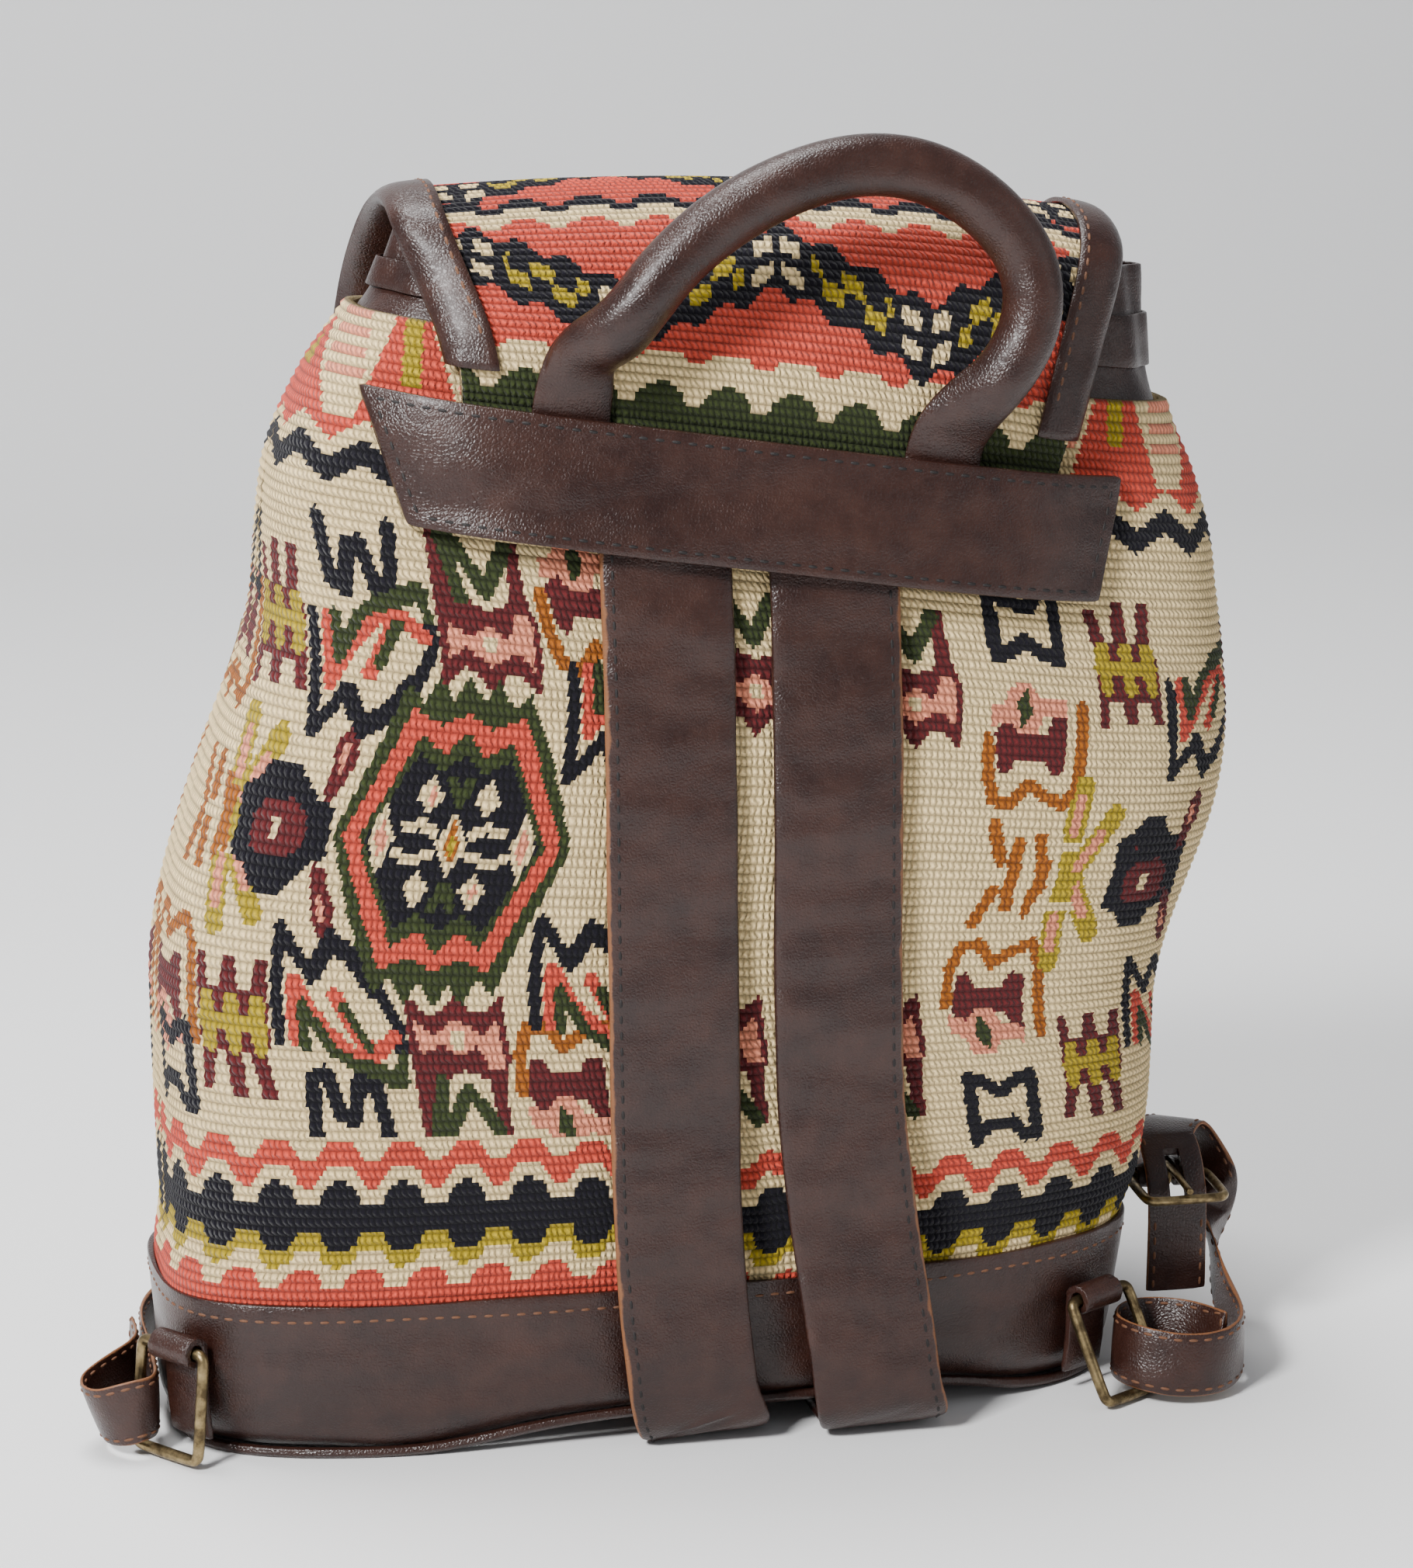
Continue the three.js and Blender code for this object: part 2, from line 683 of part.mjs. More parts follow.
function flapHalf(share) {
  const front = 1 - 0.06 * ramp(share, 0.75, 1);
  return (FLAP_BACK_HALF + (FLAP_TOP_HALF - FLAP_BACK_HALF) * ramp(share, 0.02, 0.34)) * front;
}

const flapFrames = sheetFrames(flapPath(), flapHalf, FLAP_CROWN, YOKE_CENTRE + 4, 12, 0.34);
const flapOuter = FLAP_THICKNESS / 2;
const flapInner = -FLAP_THICKNESS / 2;
const liningLow = flapInner - FIT - LINING_WALL;
const framesUnderYoke = flapFrames.filter((f) => f.p.z < YOKE_TOP + 1 && f.share < 0.3).length;

// Yoke strip over the ends of the flap, handle and shoulder straps
const YOKE_STAND = FLAP_THICKNESS + HANDLE_FOOT_THICKNESS + 3 * FIT + YOKE_SLACK;

function yokeStrip() {
  const stations = 16;
  const edge = (share, z, slantLeft, slantRight) => {
    const left = YOKE_CENTRE - YOKE_LENGTH / 2 + slantLeft;
    const right = YOKE_CENTRE + YOKE_LENGTH / 2 - slantRight;
    return vec(left + (right - left) * share, 0, z);
  };
  const rings = [];
  for (let k = 0; k <= stations; k += 1) {
    const share = k / stations;
    const taper = ramp(share, 0, 0.1) * ramp(1 - share, 0, 0.1);
    const stand = FIT + 1 + (YOKE_STAND - FIT - 1) * taper;
    const levels = [0, 0.5, 1].map((s) => {
      const z = YOKE_TOP - s * YOKE_HEIGHT;
      return edge(share, z, s * YOKE_LEFT_SLANT, s * YOKE_RIGHT_SLANT);
    });
    const near = levels.map((p) => vec(p.x, -faceDepth(p.x, p.z) - stand, p.z));
    const far = levels.map((p) => vec(p.x, -faceDepth(p.x, p.z) - stand - YOKE_THICKNESS, p.z));
    rings.push([...near, ...far.reverse()].map(settle));
  }
  return ringSolid(rings);
}

// Rolled handle: a lopsided arch between two flattened feet under the yoke
function handle() {
  const half = HANDLE_SPAN / 2;
  const foot = (side) => YOKE_CENTRE + side * half;
  const bed = FLAP_THICKNESS + 2 * FIT + HANDLE_FOOT_THICKNESS / 2;
  const low = YOKE_TOP - YOKE_TUCK + 1;
  const footPoint = (side, z, stand) => settle(
    vec(foot(side), -faceDepth(foot(side), Math.min(z, YOKE_TOP)) - bed - stand, z),
  );
  const middle = footPoint(-1, YOKE_TOP, 0).add(footPoint(1, YOKE_TOP, 0)).multiplyScalar(0.5);
  const archY = -BODY_HALF_DEPTH * 1.04;
  const arch = [
    [-0.79, 0.62, 0], [-0.6, 0.86, -0.2], [-0.36, 1.09, 0.4], [0.05, 1.33, 2],
    [0.5, 1.44, 4], [0.88, 1.39, 5], [1.22, 1.18, 4], [1.42, 0.91, 2.5],
    [1.44, 0.62, 1.4], [1.31, 0.35, 0.4],
  ].map(([x, z, y]) => vec(middle.x + x * half, archY + y, middle.z + z * half));
  const points = curvePoints([
    footPoint(-1, low, 0), footPoint(-1, YOKE_TOP - 1, 0), footPoint(-1, YOKE_TOP + 9, 3),
    footPoint(-1, YOKE_TOP + 22, 8), ...arch,
    footPoint(1, YOKE_TOP + 9, 4), footPoint(1, YOKE_TOP - 1, 0), footPoint(1, low, 0),
  ], 11);
  const along = tangents(points);
  const ends = [points[0], points[points.length - 1]];
  const rings = points.map((p, i) => {
    const reach = Math.min(p.distanceTo(ends[0]), p.distanceTo(ends[1]));
    const round = ramp(reach, YOKE_TUCK + 4, YOKE_TUCK + 30);
    const w = HANDLE_FOOT_WIDTH / 2 + (HANDLE_RADIUS - HANDLE_FOOT_WIDTH / 2) * round;
    const t = HANDLE_FOOT_THICKNESS / 2 + (HANDLE_RADIUS - HANDLE_FOOT_THICKNESS / 2) * round;
    const across = along[i].clone().cross(vec(0, -1, 0)).normalize();
    const out = across.clone().cross(along[i]).normalize();
    const ring = [];
    for (let k = 0; k < 12; k += 1) {
      const a = (k / 12) * 2 * Math.PI;
      const seam = k === 0 ? HANDLE_SEAM * round : 0;
      const q = p.clone().addScaledVector(across, (w + seam) * Math.cos(a));
      ring.push(q.addScaledVector(out, t * Math.sin(a)));
    }
    return ring;
  });
  return ringSolid(rings);
}

// Place of a strap on the back of the standing bag, stood off by a distance
function onBack(x, z, stand) {
  const [flatX, flatZ] = unsettle(x, z);
  return vec(x, -faceDepth(flatX, flatZ) - FIT - STRAP_THICKNESS / 2 - stand, z);
}

// Wire buckles: inner bar, direction to the outer bar, bar direction and outward direction
function axes(origin, toward, bar) {
  const e1 = toward.clone().normalize();
  const e2 = bar.clone().addScaledVector(e1, -bar.dot(e1)).normalize();
  const e3 = e1.clone().cross(e2);
  return {
    origin, e1, e2, e3,
    at: (a, c, b = 0) => (
      origin.clone().addScaledVector(e1, a).addScaledVector(e3, c).addScaledVector(e2, b)
    ),
  };
}

const SIDE_REACH = halfWidth(BASE_HEIGHT + 6) + FOOT_SHIFT + 4;
const BUCKLES = {
  right: axes(
    vec(SIDE_REACH + BUCKLE_HALF_WIDTH + BUCKLE_WIRE + 1.5, 4, BASE_HEIGHT + 4),
    vec(0, -1, -0.08),
    vec(1, 0, 0),
  ),
  left: axes(vec(-122, BODY_HALF_DEPTH + 23, 17), vec(-1, -0.12, 0), vec(0, 0, 1)),
};

// End of a wide strap: folded round the inner bar of its buckle
function foldPoints(frame) {
  const turn = BUCKLE_WIRE + FIT + STRAP_END_THICKNESS / 2;
  const lap = STRAP_END_THICKNESS / 2 + FIT / 2;
  const points = [frame.at(-14, lap), frame.at(-7, lap + 0.8)];
  for (let k = 0; k <= 6; k += 1) {
    const a = Math.PI / 2 + 0.25 - (k / 6) * (Math.PI + 0.5);
    points.push(frame.at(turn * Math.cos(a), turn * Math.sin(a)));
  }
  points.push(frame.at(-7, -lap - 0.8), frame.at(-13, -lap));
  return points;
}

// Routes of the two wide straps from the yoke, under the base, to their buckles
function strapRoute(side) {
  const k = side === 'left' ? 0 : 1;
  const x = STRAP_CENTRES[k];
  const top = YOKE_TOP - YOKE_HEIGHT - 2;
  const under = 3 * FIT + STRAP_THICKNESS / 2;
  const stand = side === 'left' ? [6, 10, 11] : [9, 15, 16];
  const drift = side === 'left' ? [2, 5, 8, 12] : [6, 11, 14, 17];
  const back = [
    onBack(x, top + 12, 0.2), onBack(x, top - 6, 0.5), onBack(x, 0.7 * KILIM_TOP, 1.6),
    onBack(x, 0.52 * KILIM_TOP, 1.4), onBack(x + 1, 0.34 * KILIM_TOP, 2),
    onBack(x + drift[0], BASE_HEIGHT + 14, stand[0]), onBack(x + drift[1], 33, stand[1]),
  ];
  const heel = -halfDepth(0) - stand[2];
  const bend = [
    vec(x + drift[2], heel + 0.5, 14), vec(x + drift[3], heel + 5, under + 2.6),
    vec(x + drift[3] + 1, heel + 14, under), vec(x + drift[3] + 1, 0, under),
    vec(x + drift[3] + 1, halfDepth(0) - 2, under + 1.6),
  ];
  return { back, bend };
}

// Wide strap on the back: its padded part and the end that narrows to the buckle
function shoulderStrap(side) {
  const { back, bend } = strapRoute(side);
  const frame = BUCKLES[side];
  const start = bend[bend.length - 1];
  const front = halfDepth(0);
  const s = side === 'left' ? -1 : 1;
  const stands = STRAP_WIDTH / 2 + 2.4;
  const turns = side === 'left'
    ? [
      [vec(start.x - 3, front + 8, 7.5), vec(1, 0, 0.12)],
      [vec(start.x - 10, front + 20, 18), vec(0.8, 0, 0.6)],
      [vec(start.x - 24, front + 31, stands - 1), vec(0.25, 0, 0.97)],
      [vec(start.x - 48, front + 38, stands), vec(0, 0, 1)],
      [vec(start.x - 78, front + 37, stands - 2), vec(0, 0, 1)],
      [vec(start.x - 102, front + 34, stands - 5), vec(0, 0, 1)],
    ]
    : [
      [vec(start.x + 3, front + 8, 9), vec(1, 0, -0.04)],
      [vec(start.x + 12, front + 20, 18), vec(0.8, 0, -0.6)],
      [vec(start.x + 28, front + 31, stands - 1), vec(0.25, 0, -0.97)],
      [vec(start.x + 52, front + 34, stands + 1), vec(0, 0, -1)],
      [vec(start.x + 80, front + 22, stands + 5), vec(0, 0, -1)],
      [vec(frame.origin.x - 7, front + 2, stands + 13), vec(-0.2, 0, -0.98)],
      [vec(frame.origin.x - 1, front - 20, stands + 24), vec(-0.6, 0, -0.8)],
      [vec(frame.origin.x, 29, BASE_HEIGHT + 2), vec(-0.95, 0, -0.3)],
    ];
  const fold = foldPoints(frame);
  const control = [
    ...back.map((p) => [p, vec(1, 0, 0)]),
    ...bend.map((p) => [p, vec(1, 0, 0)]),
    ...turns,
  ];
  const sign = Math.sign(control[control.length - 1][1].dot(frame.e2)) || s;
  fold.forEach((p) => control.push([p, frame.e2.clone().multiplyScalar(sign)]));
  return { control, foldCount: fold.length };
}

// Points and width directions along a route, closer together where it turns
function routeStations(control, steps) {
  const curve = new THREE.CatmullRomCurve3(control.map(([p]) => p), false, 'centripetal');
  const points = [];
  const directions = [];
  const last = control.length - 1;
  for (let i = 0; i <= last; i += 1) {
    const count = i < last ? steps(i) : 1;
    for (let k = 0; k < count; k += 1) {
      const t = k / count;
      points.push(curve.getPoint((i + t) / last));
      const next = control[Math.min(last, i + 1)][1];
      directions.push(control[i][1].clone().lerp(next, smooth(t)).normalize());
    }
  }
  return { points, directions };
}

function strapBody(side) {
  const { control, foldCount } = shoulderStrap(side);
  const foldStart = control.length - foldCount;
  const { points, directions } = routeStations(control, (i) => (i < foldStart - 1 ? 2 : 1));
  const lengths = [0];
  points.forEach((p, i) => i > 0 && lengths.push(lengths[i - 1] + p.distanceTo(points[i - 1])));
  const foldAt = points.length - foldCount;
  const total = lengths[foldAt];
  const sections = points.map((p, i) => {
    const narrow = ramp(lengths[i], total - 75, total - 22);
    const width = STRAP_WIDTH + (STRAP_END_WIDTH - STRAP_WIDTH) * narrow;
    return strapSection(width, STRAP_THICKNESS + (STRAP_END_THICKNESS - STRAP_THICKNESS) * narrow);
  });
  const n = points.length - 1;
  const body = band(points, directions, (share) => sections[Math.round(share * n)]);
  return cut(body, prongNotch(BUCKLES[side]));
}

// Box in a buckle's own directions
function boxAt(frame, a, c, length, height, width) {
  const box = new THREE.BoxGeometry(length, width, height);
  const basis = new THREE.Matrix4().makeBasis(frame.e1, frame.e2, frame.e3);
  const flip = basis.determinant() < 0 ? new THREE.Matrix4().makeScale(1, -1, 1) : null;
  box.applyMatrix4(basis.setPosition(frame.at(a, c)));
  return flip ? box.applyMatrix4(flip) : box;
}

// Notch in the fold where the prong turns on the bar
function prongNotch(frame) {
  return boxAt(frame, 0, 0, 12, 16, PRONG_SLOT);
}

function buckleFrame(side) {
  const frame = BUCKLES[side];
  const centre = frame.at(BUCKLE_LENGTH / 2, 0);
  const path = roundedFrame(
    centre, frame.e1, frame.e2, BUCKLE_LENGTH, 2 * BUCKLE_HALF_WIDTH, 3.5, 3,
  );
  return wire(path, BUCKLE_WIRE, 8, true);
}

// Prong: an eye round the inner bar and a shank that lies on the outer bar
function buckleProng(side) {
  const frame = BUCKLES[side];
  const eye = [];
  const radius = BUCKLE_WIRE + FIT + PRONG_WIRE;
  for (let k = 0; k < 12; k += 1) {
    const a = (k / 12) * 2 * Math.PI;
    eye.push(frame.at(radius * Math.cos(a), radius * Math.sin(a)));
  }
  const rest = BUCKLE_WIRE + PRONG_WIRE + FIT;
  const shank = curvePoints([
    frame.at(0.6, radius - 0.1), frame.at(8, rest + 0.4), frame.at(16, rest + 0.3),
    frame.at(PRONG_LENGTH, rest),
  ], 8);
  return joined(wire(eye, PRONG_WIRE, 6, true), wire(shank, PRONG_WIRE, 8, false));
}

// Rings hang from rolled tabs at the back corners of the base
function cornerFrame(side) {
  const left = side === 'left';
  const along = left ? vec(-0.594, 0.804, 0) : vec(0.849, 0.529, 0);
  const out = left ? vec(-0.804, -0.594, 0) : vec(0.529, -0.849, 0);
  const tilt = ((left ? 6 : 28) * Math.PI) / 180;
  const height = RING_WIRE + 0.45 + RING_HEIGHT * (left ? 1 : Math.cos(tilt));
  const surface = supportPoint(out, height);
  const reach = FIT + LEATHER_WALL + TAB_ROLL + (left ? 0 : FIT);
  const centre = surface.addScaledVector(out, reach);
  const down = out.clone().multiplyScalar(Math.sin(tilt)).addScaledVector(UP, -Math.cos(tilt));
  return { along, out, down, centre };
}

// Point of the base outline that reaches furthest in a direction
function supportPoint(direction, z) {
  let best = null;
  for (let i = 0; i < 720; i += 1) {
    const p = settle(outline((i / 720) * 2 * Math.PI, z, 0));
    if (best === null || p.dot(direction) > best.dot(direction)) {
      best = p;
    }
  }
  best.z = z;
  return best;
}

function swingRing(side) {
  const { along, down, centre } = cornerFrame(side);
  const middle = centre.clone().addScaledVector(down, RING_HEIGHT / 2);
  return wire(
    roundedFrame(middle, along, down, RING_WIDTH, RING_HEIGHT, RING_CORNER, 3), RING_WIRE, 8, true,
  );
}

// Tab: leather rolled round the top bar of the ring, its foot sewn at the base seam
function ringTab(side) {
  const { along, out, centre } = cornerFrame(side);
  const foot = TAB_FOOT - centre.z;
  const shape = new THREE.Shape();
  shape.moveTo(-TAB_ROLL, 0);
  shape.absarc(0, 0, TAB_ROLL, Math.PI, -0.3 * Math.PI, true);
  shape.lineTo(-TAB_ROLL + 2.4, -TAB_ROLL - 0.4);
  shape.lineTo(-TAB_ROLL + 2.2, foot * 0.6);
  shape.lineTo(-TAB_ROLL + 0.5, foot);
  shape.lineTo(-TAB_ROLL - 2, foot);
  shape.lineTo(-TAB_ROLL, foot * 0.6);
  shape.closePath();
  const bore = new THREE.Path();
  bore.absarc(0, 0, TAB_BORE, 0, 2 * Math.PI, false);
  shape.holes.push(bore);
  const tab = new THREE.ExtrudeGeometry(shape, {
    depth: TAB_LENGTH, bevelEnabled: false, curveSegments: 10,
  });
  const towardLeg = along.dot(out.clone().cross(UP)) > 0 ? 1 : -1;
  tab.translate(0, 0, -TAB_LENGTH / 2 - towardLeg * TAB_SHIFT);
  const basis = new THREE.Matrix4().makeBasis(out, UP, out.clone().cross(UP));
  tab.applyMatrix4(basis.setPosition(centre));
  return tab;
}

// Routes of the narrow straps: sewn end, loop round the ring's far leg, then to the buckle
function lowerRoute(side) {
  const frame = BUCKLES[side];
  const { along, down, centre } = cornerFrame(side);
  const leg = centre.clone().addScaledVector(along, RING_WIDTH / 2);
  leg.addScaledVector(down, RING_HEIGHT * 0.55);
  const upright = vec(0, 0, 1);
  if (side === 'right') {
    const tilted = vec(0.1, 0.15, 0.98);
    const loop = [
      [24, -8, -0.7, tilted], [17, 5, -0.7, tilted], [5, 12, -0.7, tilted],
      [-5, 9.5, -0.7, tilted], [-11.5, -1, -0.7, tilted], [-9, -13, -0.7, tilted],
      [4, -21, -2.5, tilted], [19, -20, -3, tilted], [31, -8, -2, upright],
    ].map(([x, y, z, w]) => [vec(leg.x + x, leg.y + y, leg.z + z), w]);
    const beside = frame.origin.x + BUCKLE_HALF_WIDTH + BUCKLE_WIRE;
    const rise = [
      [vec(leg.x + 36, -28, 15.5), upright],
      [vec(beside + 0.5, -6, 20), upright],
      [vec(beside + 3, 10, 32), vec(0, 0.35, 0.94)],
      [vec(beside + 6, 20, 48), vec(-0.2, 0.5, 0.85)],
      [vec(beside + 4, 22, 62), vec(-0.5, 0.5, 0.6)],
      [vec(beside - 6, 20, 71), vec(-0.95, 0.2, 0.15)],
    ];
    const over = [
      [-5, 14], [2, 10.6], [8.5, 4.6], [13, -2.5], [14.8, -12], [15.5, -24], [15.8, -36],
    ].map(([a, c]) => [frame.at(a, c), vec(-1, 0, 0)]);
    return [...loop, ...rise, ...over];
  }
  const wall = -halfWidth(17) + FOOT_SHIFT - FIT - LEATHER_WALL;
  const near = wall - FIT - LOWER_THICKNESS / 2 - 0.4;
  const outer = near - LOWER_THICKNESS - FIT - 0.3;
  const height = 16.5;
  const leaning = vec(-0.35, 0, 0.94);
  const points = [
    [outer, 24, height, upright], [outer, 8, height, upright],
    [leg.x - 1, leg.y + 26, height, upright], [leg.x - 8, leg.y + 19, height - 1, upright],
    [leg.x - 13.5, leg.y + 11, height - 3, leaning], [leg.x - 14.5, leg.y + 1, height - 3.5, leaning],
    [leg.x - 10, leg.y - 7, height - 2.5, leaning], [leg.x - 2.5, leg.y - 10, height, upright],
    [leg.x + 3.1, leg.y - 7, height, upright], [leg.x + 5.2, leg.y - 1.5, height, upright],
    [leg.x + 5.6, leg.y + 8, height, upright],
    [near + 0.1, -8, height, upright], [near, 6, height, upright], [near + 0.6, 30, height, upright],
    [near + 6, 48, height, upright], [near + 18, 68, height, upright],
  ].map(([x, y, z, w]) => [vec(x, y, z), w]);
  const over = [
    [26, -7], [18, -4.4], [12, 1], [6.5, 6], [0, 8.4], [-10, 7.8], [-22, 7.2],
  ].map(([a, c]) => [frame.at(a, c), upright]);
  return [...points, ...over];
}

function lowerStrap(side) {
  const { points, directions } = routeStations(lowerRoute(side), () => 2);
  const section = strapSection(LOWER_WIDTH, LOWER_THICKNESS);
  const body = band(points, directions, () => section);
  const frame = BUCKLES[side];
  return cut(body, boxAt(frame, side === 'right' ? 10 : 9, 3, 13, 15, PRONG_SLOT));
}

// Front pocket, gusset first: a strip of leather round its two sides and bottom
function pocketOutline(stepCount) {
  const points = [];
  const left = -POCKET_HALF_WIDTH;
  const right = POCKET_HALF_WIDTH;
  for (let k = 0; k <= 3; k += 1) {
    points.push([left, POCKET_HIGH + ((POCKET_LOW + POCKET_CORNER - POCKET_HIGH) * k) / 3]);
  }
  for (let k = 1; k <= 4; k += 1) {
    const a = Math.PI + (k / 4) * (Math.PI / 2);
    const x = left + POCKET_CORNER + POCKET_CORNER * Math.cos(a);
    points.push([x, POCKET_LOW + POCKET_CORNER + POCKET_CORNER * Math.sin(a)]);
  }
  for (let k = 1; k <= stepCount; k += 1) {
    const span = right - left - 2 * POCKET_CORNER;
    points.push([left + POCKET_CORNER + (span * k) / stepCount, POCKET_LOW]);
  }
  for (let k = 1; k <= 4; k += 1) {
    const a = 1.5 * Math.PI + (k / 4) * (Math.PI / 2);
    const x = right - POCKET_CORNER + POCKET_CORNER * Math.cos(a);
    points.push([x, POCKET_LOW + POCKET_CORNER + POCKET_CORNER * Math.sin(a)]);
  }
  for (let k = 1; k <= 3; k += 1) {
    points.push([right, POCKET_LOW + POCKET_CORNER + ((POCKET_HIGH - POCKET_LOW - POCKET_CORNER) * k) / 3]);
  }
  return points;
}

const POCKET_FACE = BODY_HALF_DEPTH + POCKET_DEPTH;

function pocketGusset() {
  const rim = pocketOutline(8);
  const rings = rim.map(([x, z], i) => {
    const [bx, bz] = rim[Math.max(0, i - 1)];
    const [ax, az] = rim[Math.min(rim.length - 1, i + 1)];
    const inward = vec(-(az - bz), 0, ax - bx).normalize().multiplyScalar(LEATHER_WALL);
    const backY = faceDepth(x, z) + 2 * FIT;
    const insideY = faceDepth(x + inward.x, z + inward.z) + 2 * FIT;
    const middleY = (backY + POCKET_FACE) / 2;
    const rim8 = [
      vec(x, backY, z), vec(x, middleY, z), vec(x, POCKET_FACE, z),
      vec(x + inward.x, POCKET_FACE, z + inward.z),
      vec(x + inward.x, middleY, z + inward.z), vec(x + inward.x, insideY, z + inward.z),
    ];
    return rim8.map(settle);
  });
  return ringSolid(rings);
}

// Kilim panel over the front of the gusset, bulging in its middle
function pocketPanel() {
  const rim = pocketOutline(8);
  const middleZ = (POCKET_LOW + POCKET_HIGH) / 2;
  const grid = (face, bulge) => [1, 0.8, 0.5, 0.2].map((share) => rim.map(([x, z]) => {
    const rise = POCKET_BULGE * bulge * (1 - share * share);
    return settle(vec(x * share, face + rise, middleZ + (z - middleZ) * share));
  }));
  const inner = grid(POCKET_FACE + FIT, 1);
  const outer = grid(POCKET_FACE + FIT + KILIM_WALL, 1);
  return ringSolid([...inner.reverse(), ...outer]);
}

// Flap of the pocket, from the body over the top of the pocket
function pocketFlapFrames() {
  const top = POCKET_HIGH + 5;
  const wall = faceDepth(0, top + 10);
  const path = [
    vec(0, wall + 4, top + 12), vec(0, wall + 5, top + 6), vec(0, wall + 13, top + 3.5),
    vec(0, POCKET_FACE - 6, top + 2.5), vec(0, POCKET_FACE + 8, top - 3),
    vec(0, POCKET_FACE + POCKET_BULGE + 10, top - 20),
    vec(0, POCKET_FACE + POCKET_BULGE + 11, top - POCKET_FLAP_DROP),
  ];
  return sheetFrames(path, () => POCKET_HALF_WIDTH - 2, 0, 0, 9, 0.3);
}

place('kilim_body', kilimBody(), 'kilim');
place('base_shell', baseShell(), 'leather');
place('base_piping', basePiping(), 'leather');
place('body_lining', bodyLining(), 'lining');
place('collar', collar(), 'leather');
place('collar_channel', collarChannel(), 'leather');
place('flap_kilim', sheetSlab(flapFrames, flapInner, flapOuter, true), 'kilim');
const liningFrames = flapFrames.slice(framesUnderYoke + 2);
place('flap_lining', sheetSlab(liningFrames, liningLow, flapInner - FIT, false, true), 'lining');
place('flap_binding', bindingStrip(flapFrames, liningLow, flapOuter, framesUnderYoke + 1), 'leather');
place('yoke_strip', yokeStrip(), 'leather');
place('handle', handle(), 'leather');
['left', 'right'].forEach((side) => {
  place(`shoulder_strap_${side}`, strapBody(side), 'leather');
  place(`buckle_frame_${side}`, buckleFrame(side), 'brass');
  place(`buckle_prong_${side}`, buckleProng(side), 'brass');
  place(`ring_tab_${side}`, ringTab(side), 'leather');
  place(`ring_${side}`, swingRing(side), 'brass');
  place(`lower_strap_${side}`, lowerStrap(side), 'leather');
});
place('pocket_gusset', pocketGusset(), 'leather');
place('pocket_panel', pocketPanel(), 'kilim');
const pocketFrames = pocketFlapFrames();
place('pocket_flap', sheetSlab(pocketFrames, flapInner, flapOuter, true), 'kilim');
place('pocket_flap_binding', hemBinding(pocketFrames, flapInner, flapOuter), 'leather');

// The origin is the middle of the whole, on the surface the bag stands on
const extent = new THREE.Box3().setFromObject(parts);
const middle = extent.getCenter(vec(0, 0, 0));
parts.position.set(-middle.x, -middle.y, -extent.min.z);

export default parts;
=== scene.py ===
"""Looks of a woven backpack: kilim cloth, dark leather, brass wire and their stitching.

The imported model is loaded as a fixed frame. Each piece is then modelled over its solid,
rides on the same body and takes a procedural material. Metres, +Z up, the strap side faces -Y.
"""
import json
import math

import bmesh
import bpy
import numpy as np
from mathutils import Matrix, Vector
from mathutils.bvhtree import BVHTree
from mathutils.kdtree import KDTree

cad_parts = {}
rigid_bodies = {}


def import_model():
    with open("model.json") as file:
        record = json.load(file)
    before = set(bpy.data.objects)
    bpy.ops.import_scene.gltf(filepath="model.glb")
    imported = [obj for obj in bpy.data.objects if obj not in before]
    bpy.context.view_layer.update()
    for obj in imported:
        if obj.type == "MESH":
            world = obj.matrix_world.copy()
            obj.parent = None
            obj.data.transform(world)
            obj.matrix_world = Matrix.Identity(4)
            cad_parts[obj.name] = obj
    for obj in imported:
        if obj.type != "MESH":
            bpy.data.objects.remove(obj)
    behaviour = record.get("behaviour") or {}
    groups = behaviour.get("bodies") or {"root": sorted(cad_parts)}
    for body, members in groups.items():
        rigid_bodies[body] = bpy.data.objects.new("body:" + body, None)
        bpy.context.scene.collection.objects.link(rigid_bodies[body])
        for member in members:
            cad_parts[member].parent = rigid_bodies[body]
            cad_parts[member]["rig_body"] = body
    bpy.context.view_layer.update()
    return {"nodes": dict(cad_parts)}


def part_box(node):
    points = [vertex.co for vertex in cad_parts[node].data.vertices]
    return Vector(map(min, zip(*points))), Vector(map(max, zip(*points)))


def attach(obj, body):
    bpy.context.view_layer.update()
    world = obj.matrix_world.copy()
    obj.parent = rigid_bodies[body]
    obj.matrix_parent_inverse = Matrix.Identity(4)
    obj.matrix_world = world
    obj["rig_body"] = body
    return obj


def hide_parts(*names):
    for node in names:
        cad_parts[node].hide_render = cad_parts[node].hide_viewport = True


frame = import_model()

bl_info = {
    "name": "Woven Backpack",
    "version": (1, 0, 0),
    "blender": (4, 5, 0),
    "location": "3D View > Sidebar > Backpack",
    "description": "Builds the cloth, leather, brass and stitching of a woven backpack",
    "category": "Object",
}

MM = 0.001
WELD = 2e-6
EDGE_CREASE = 0.6
JOIN_FLAT = math.radians(35)
JOIN_SHAPE = math.radians(120)
ROLLED_REACH = 0.0095
SHORTEST_SEAM_EDGE = 0.0012

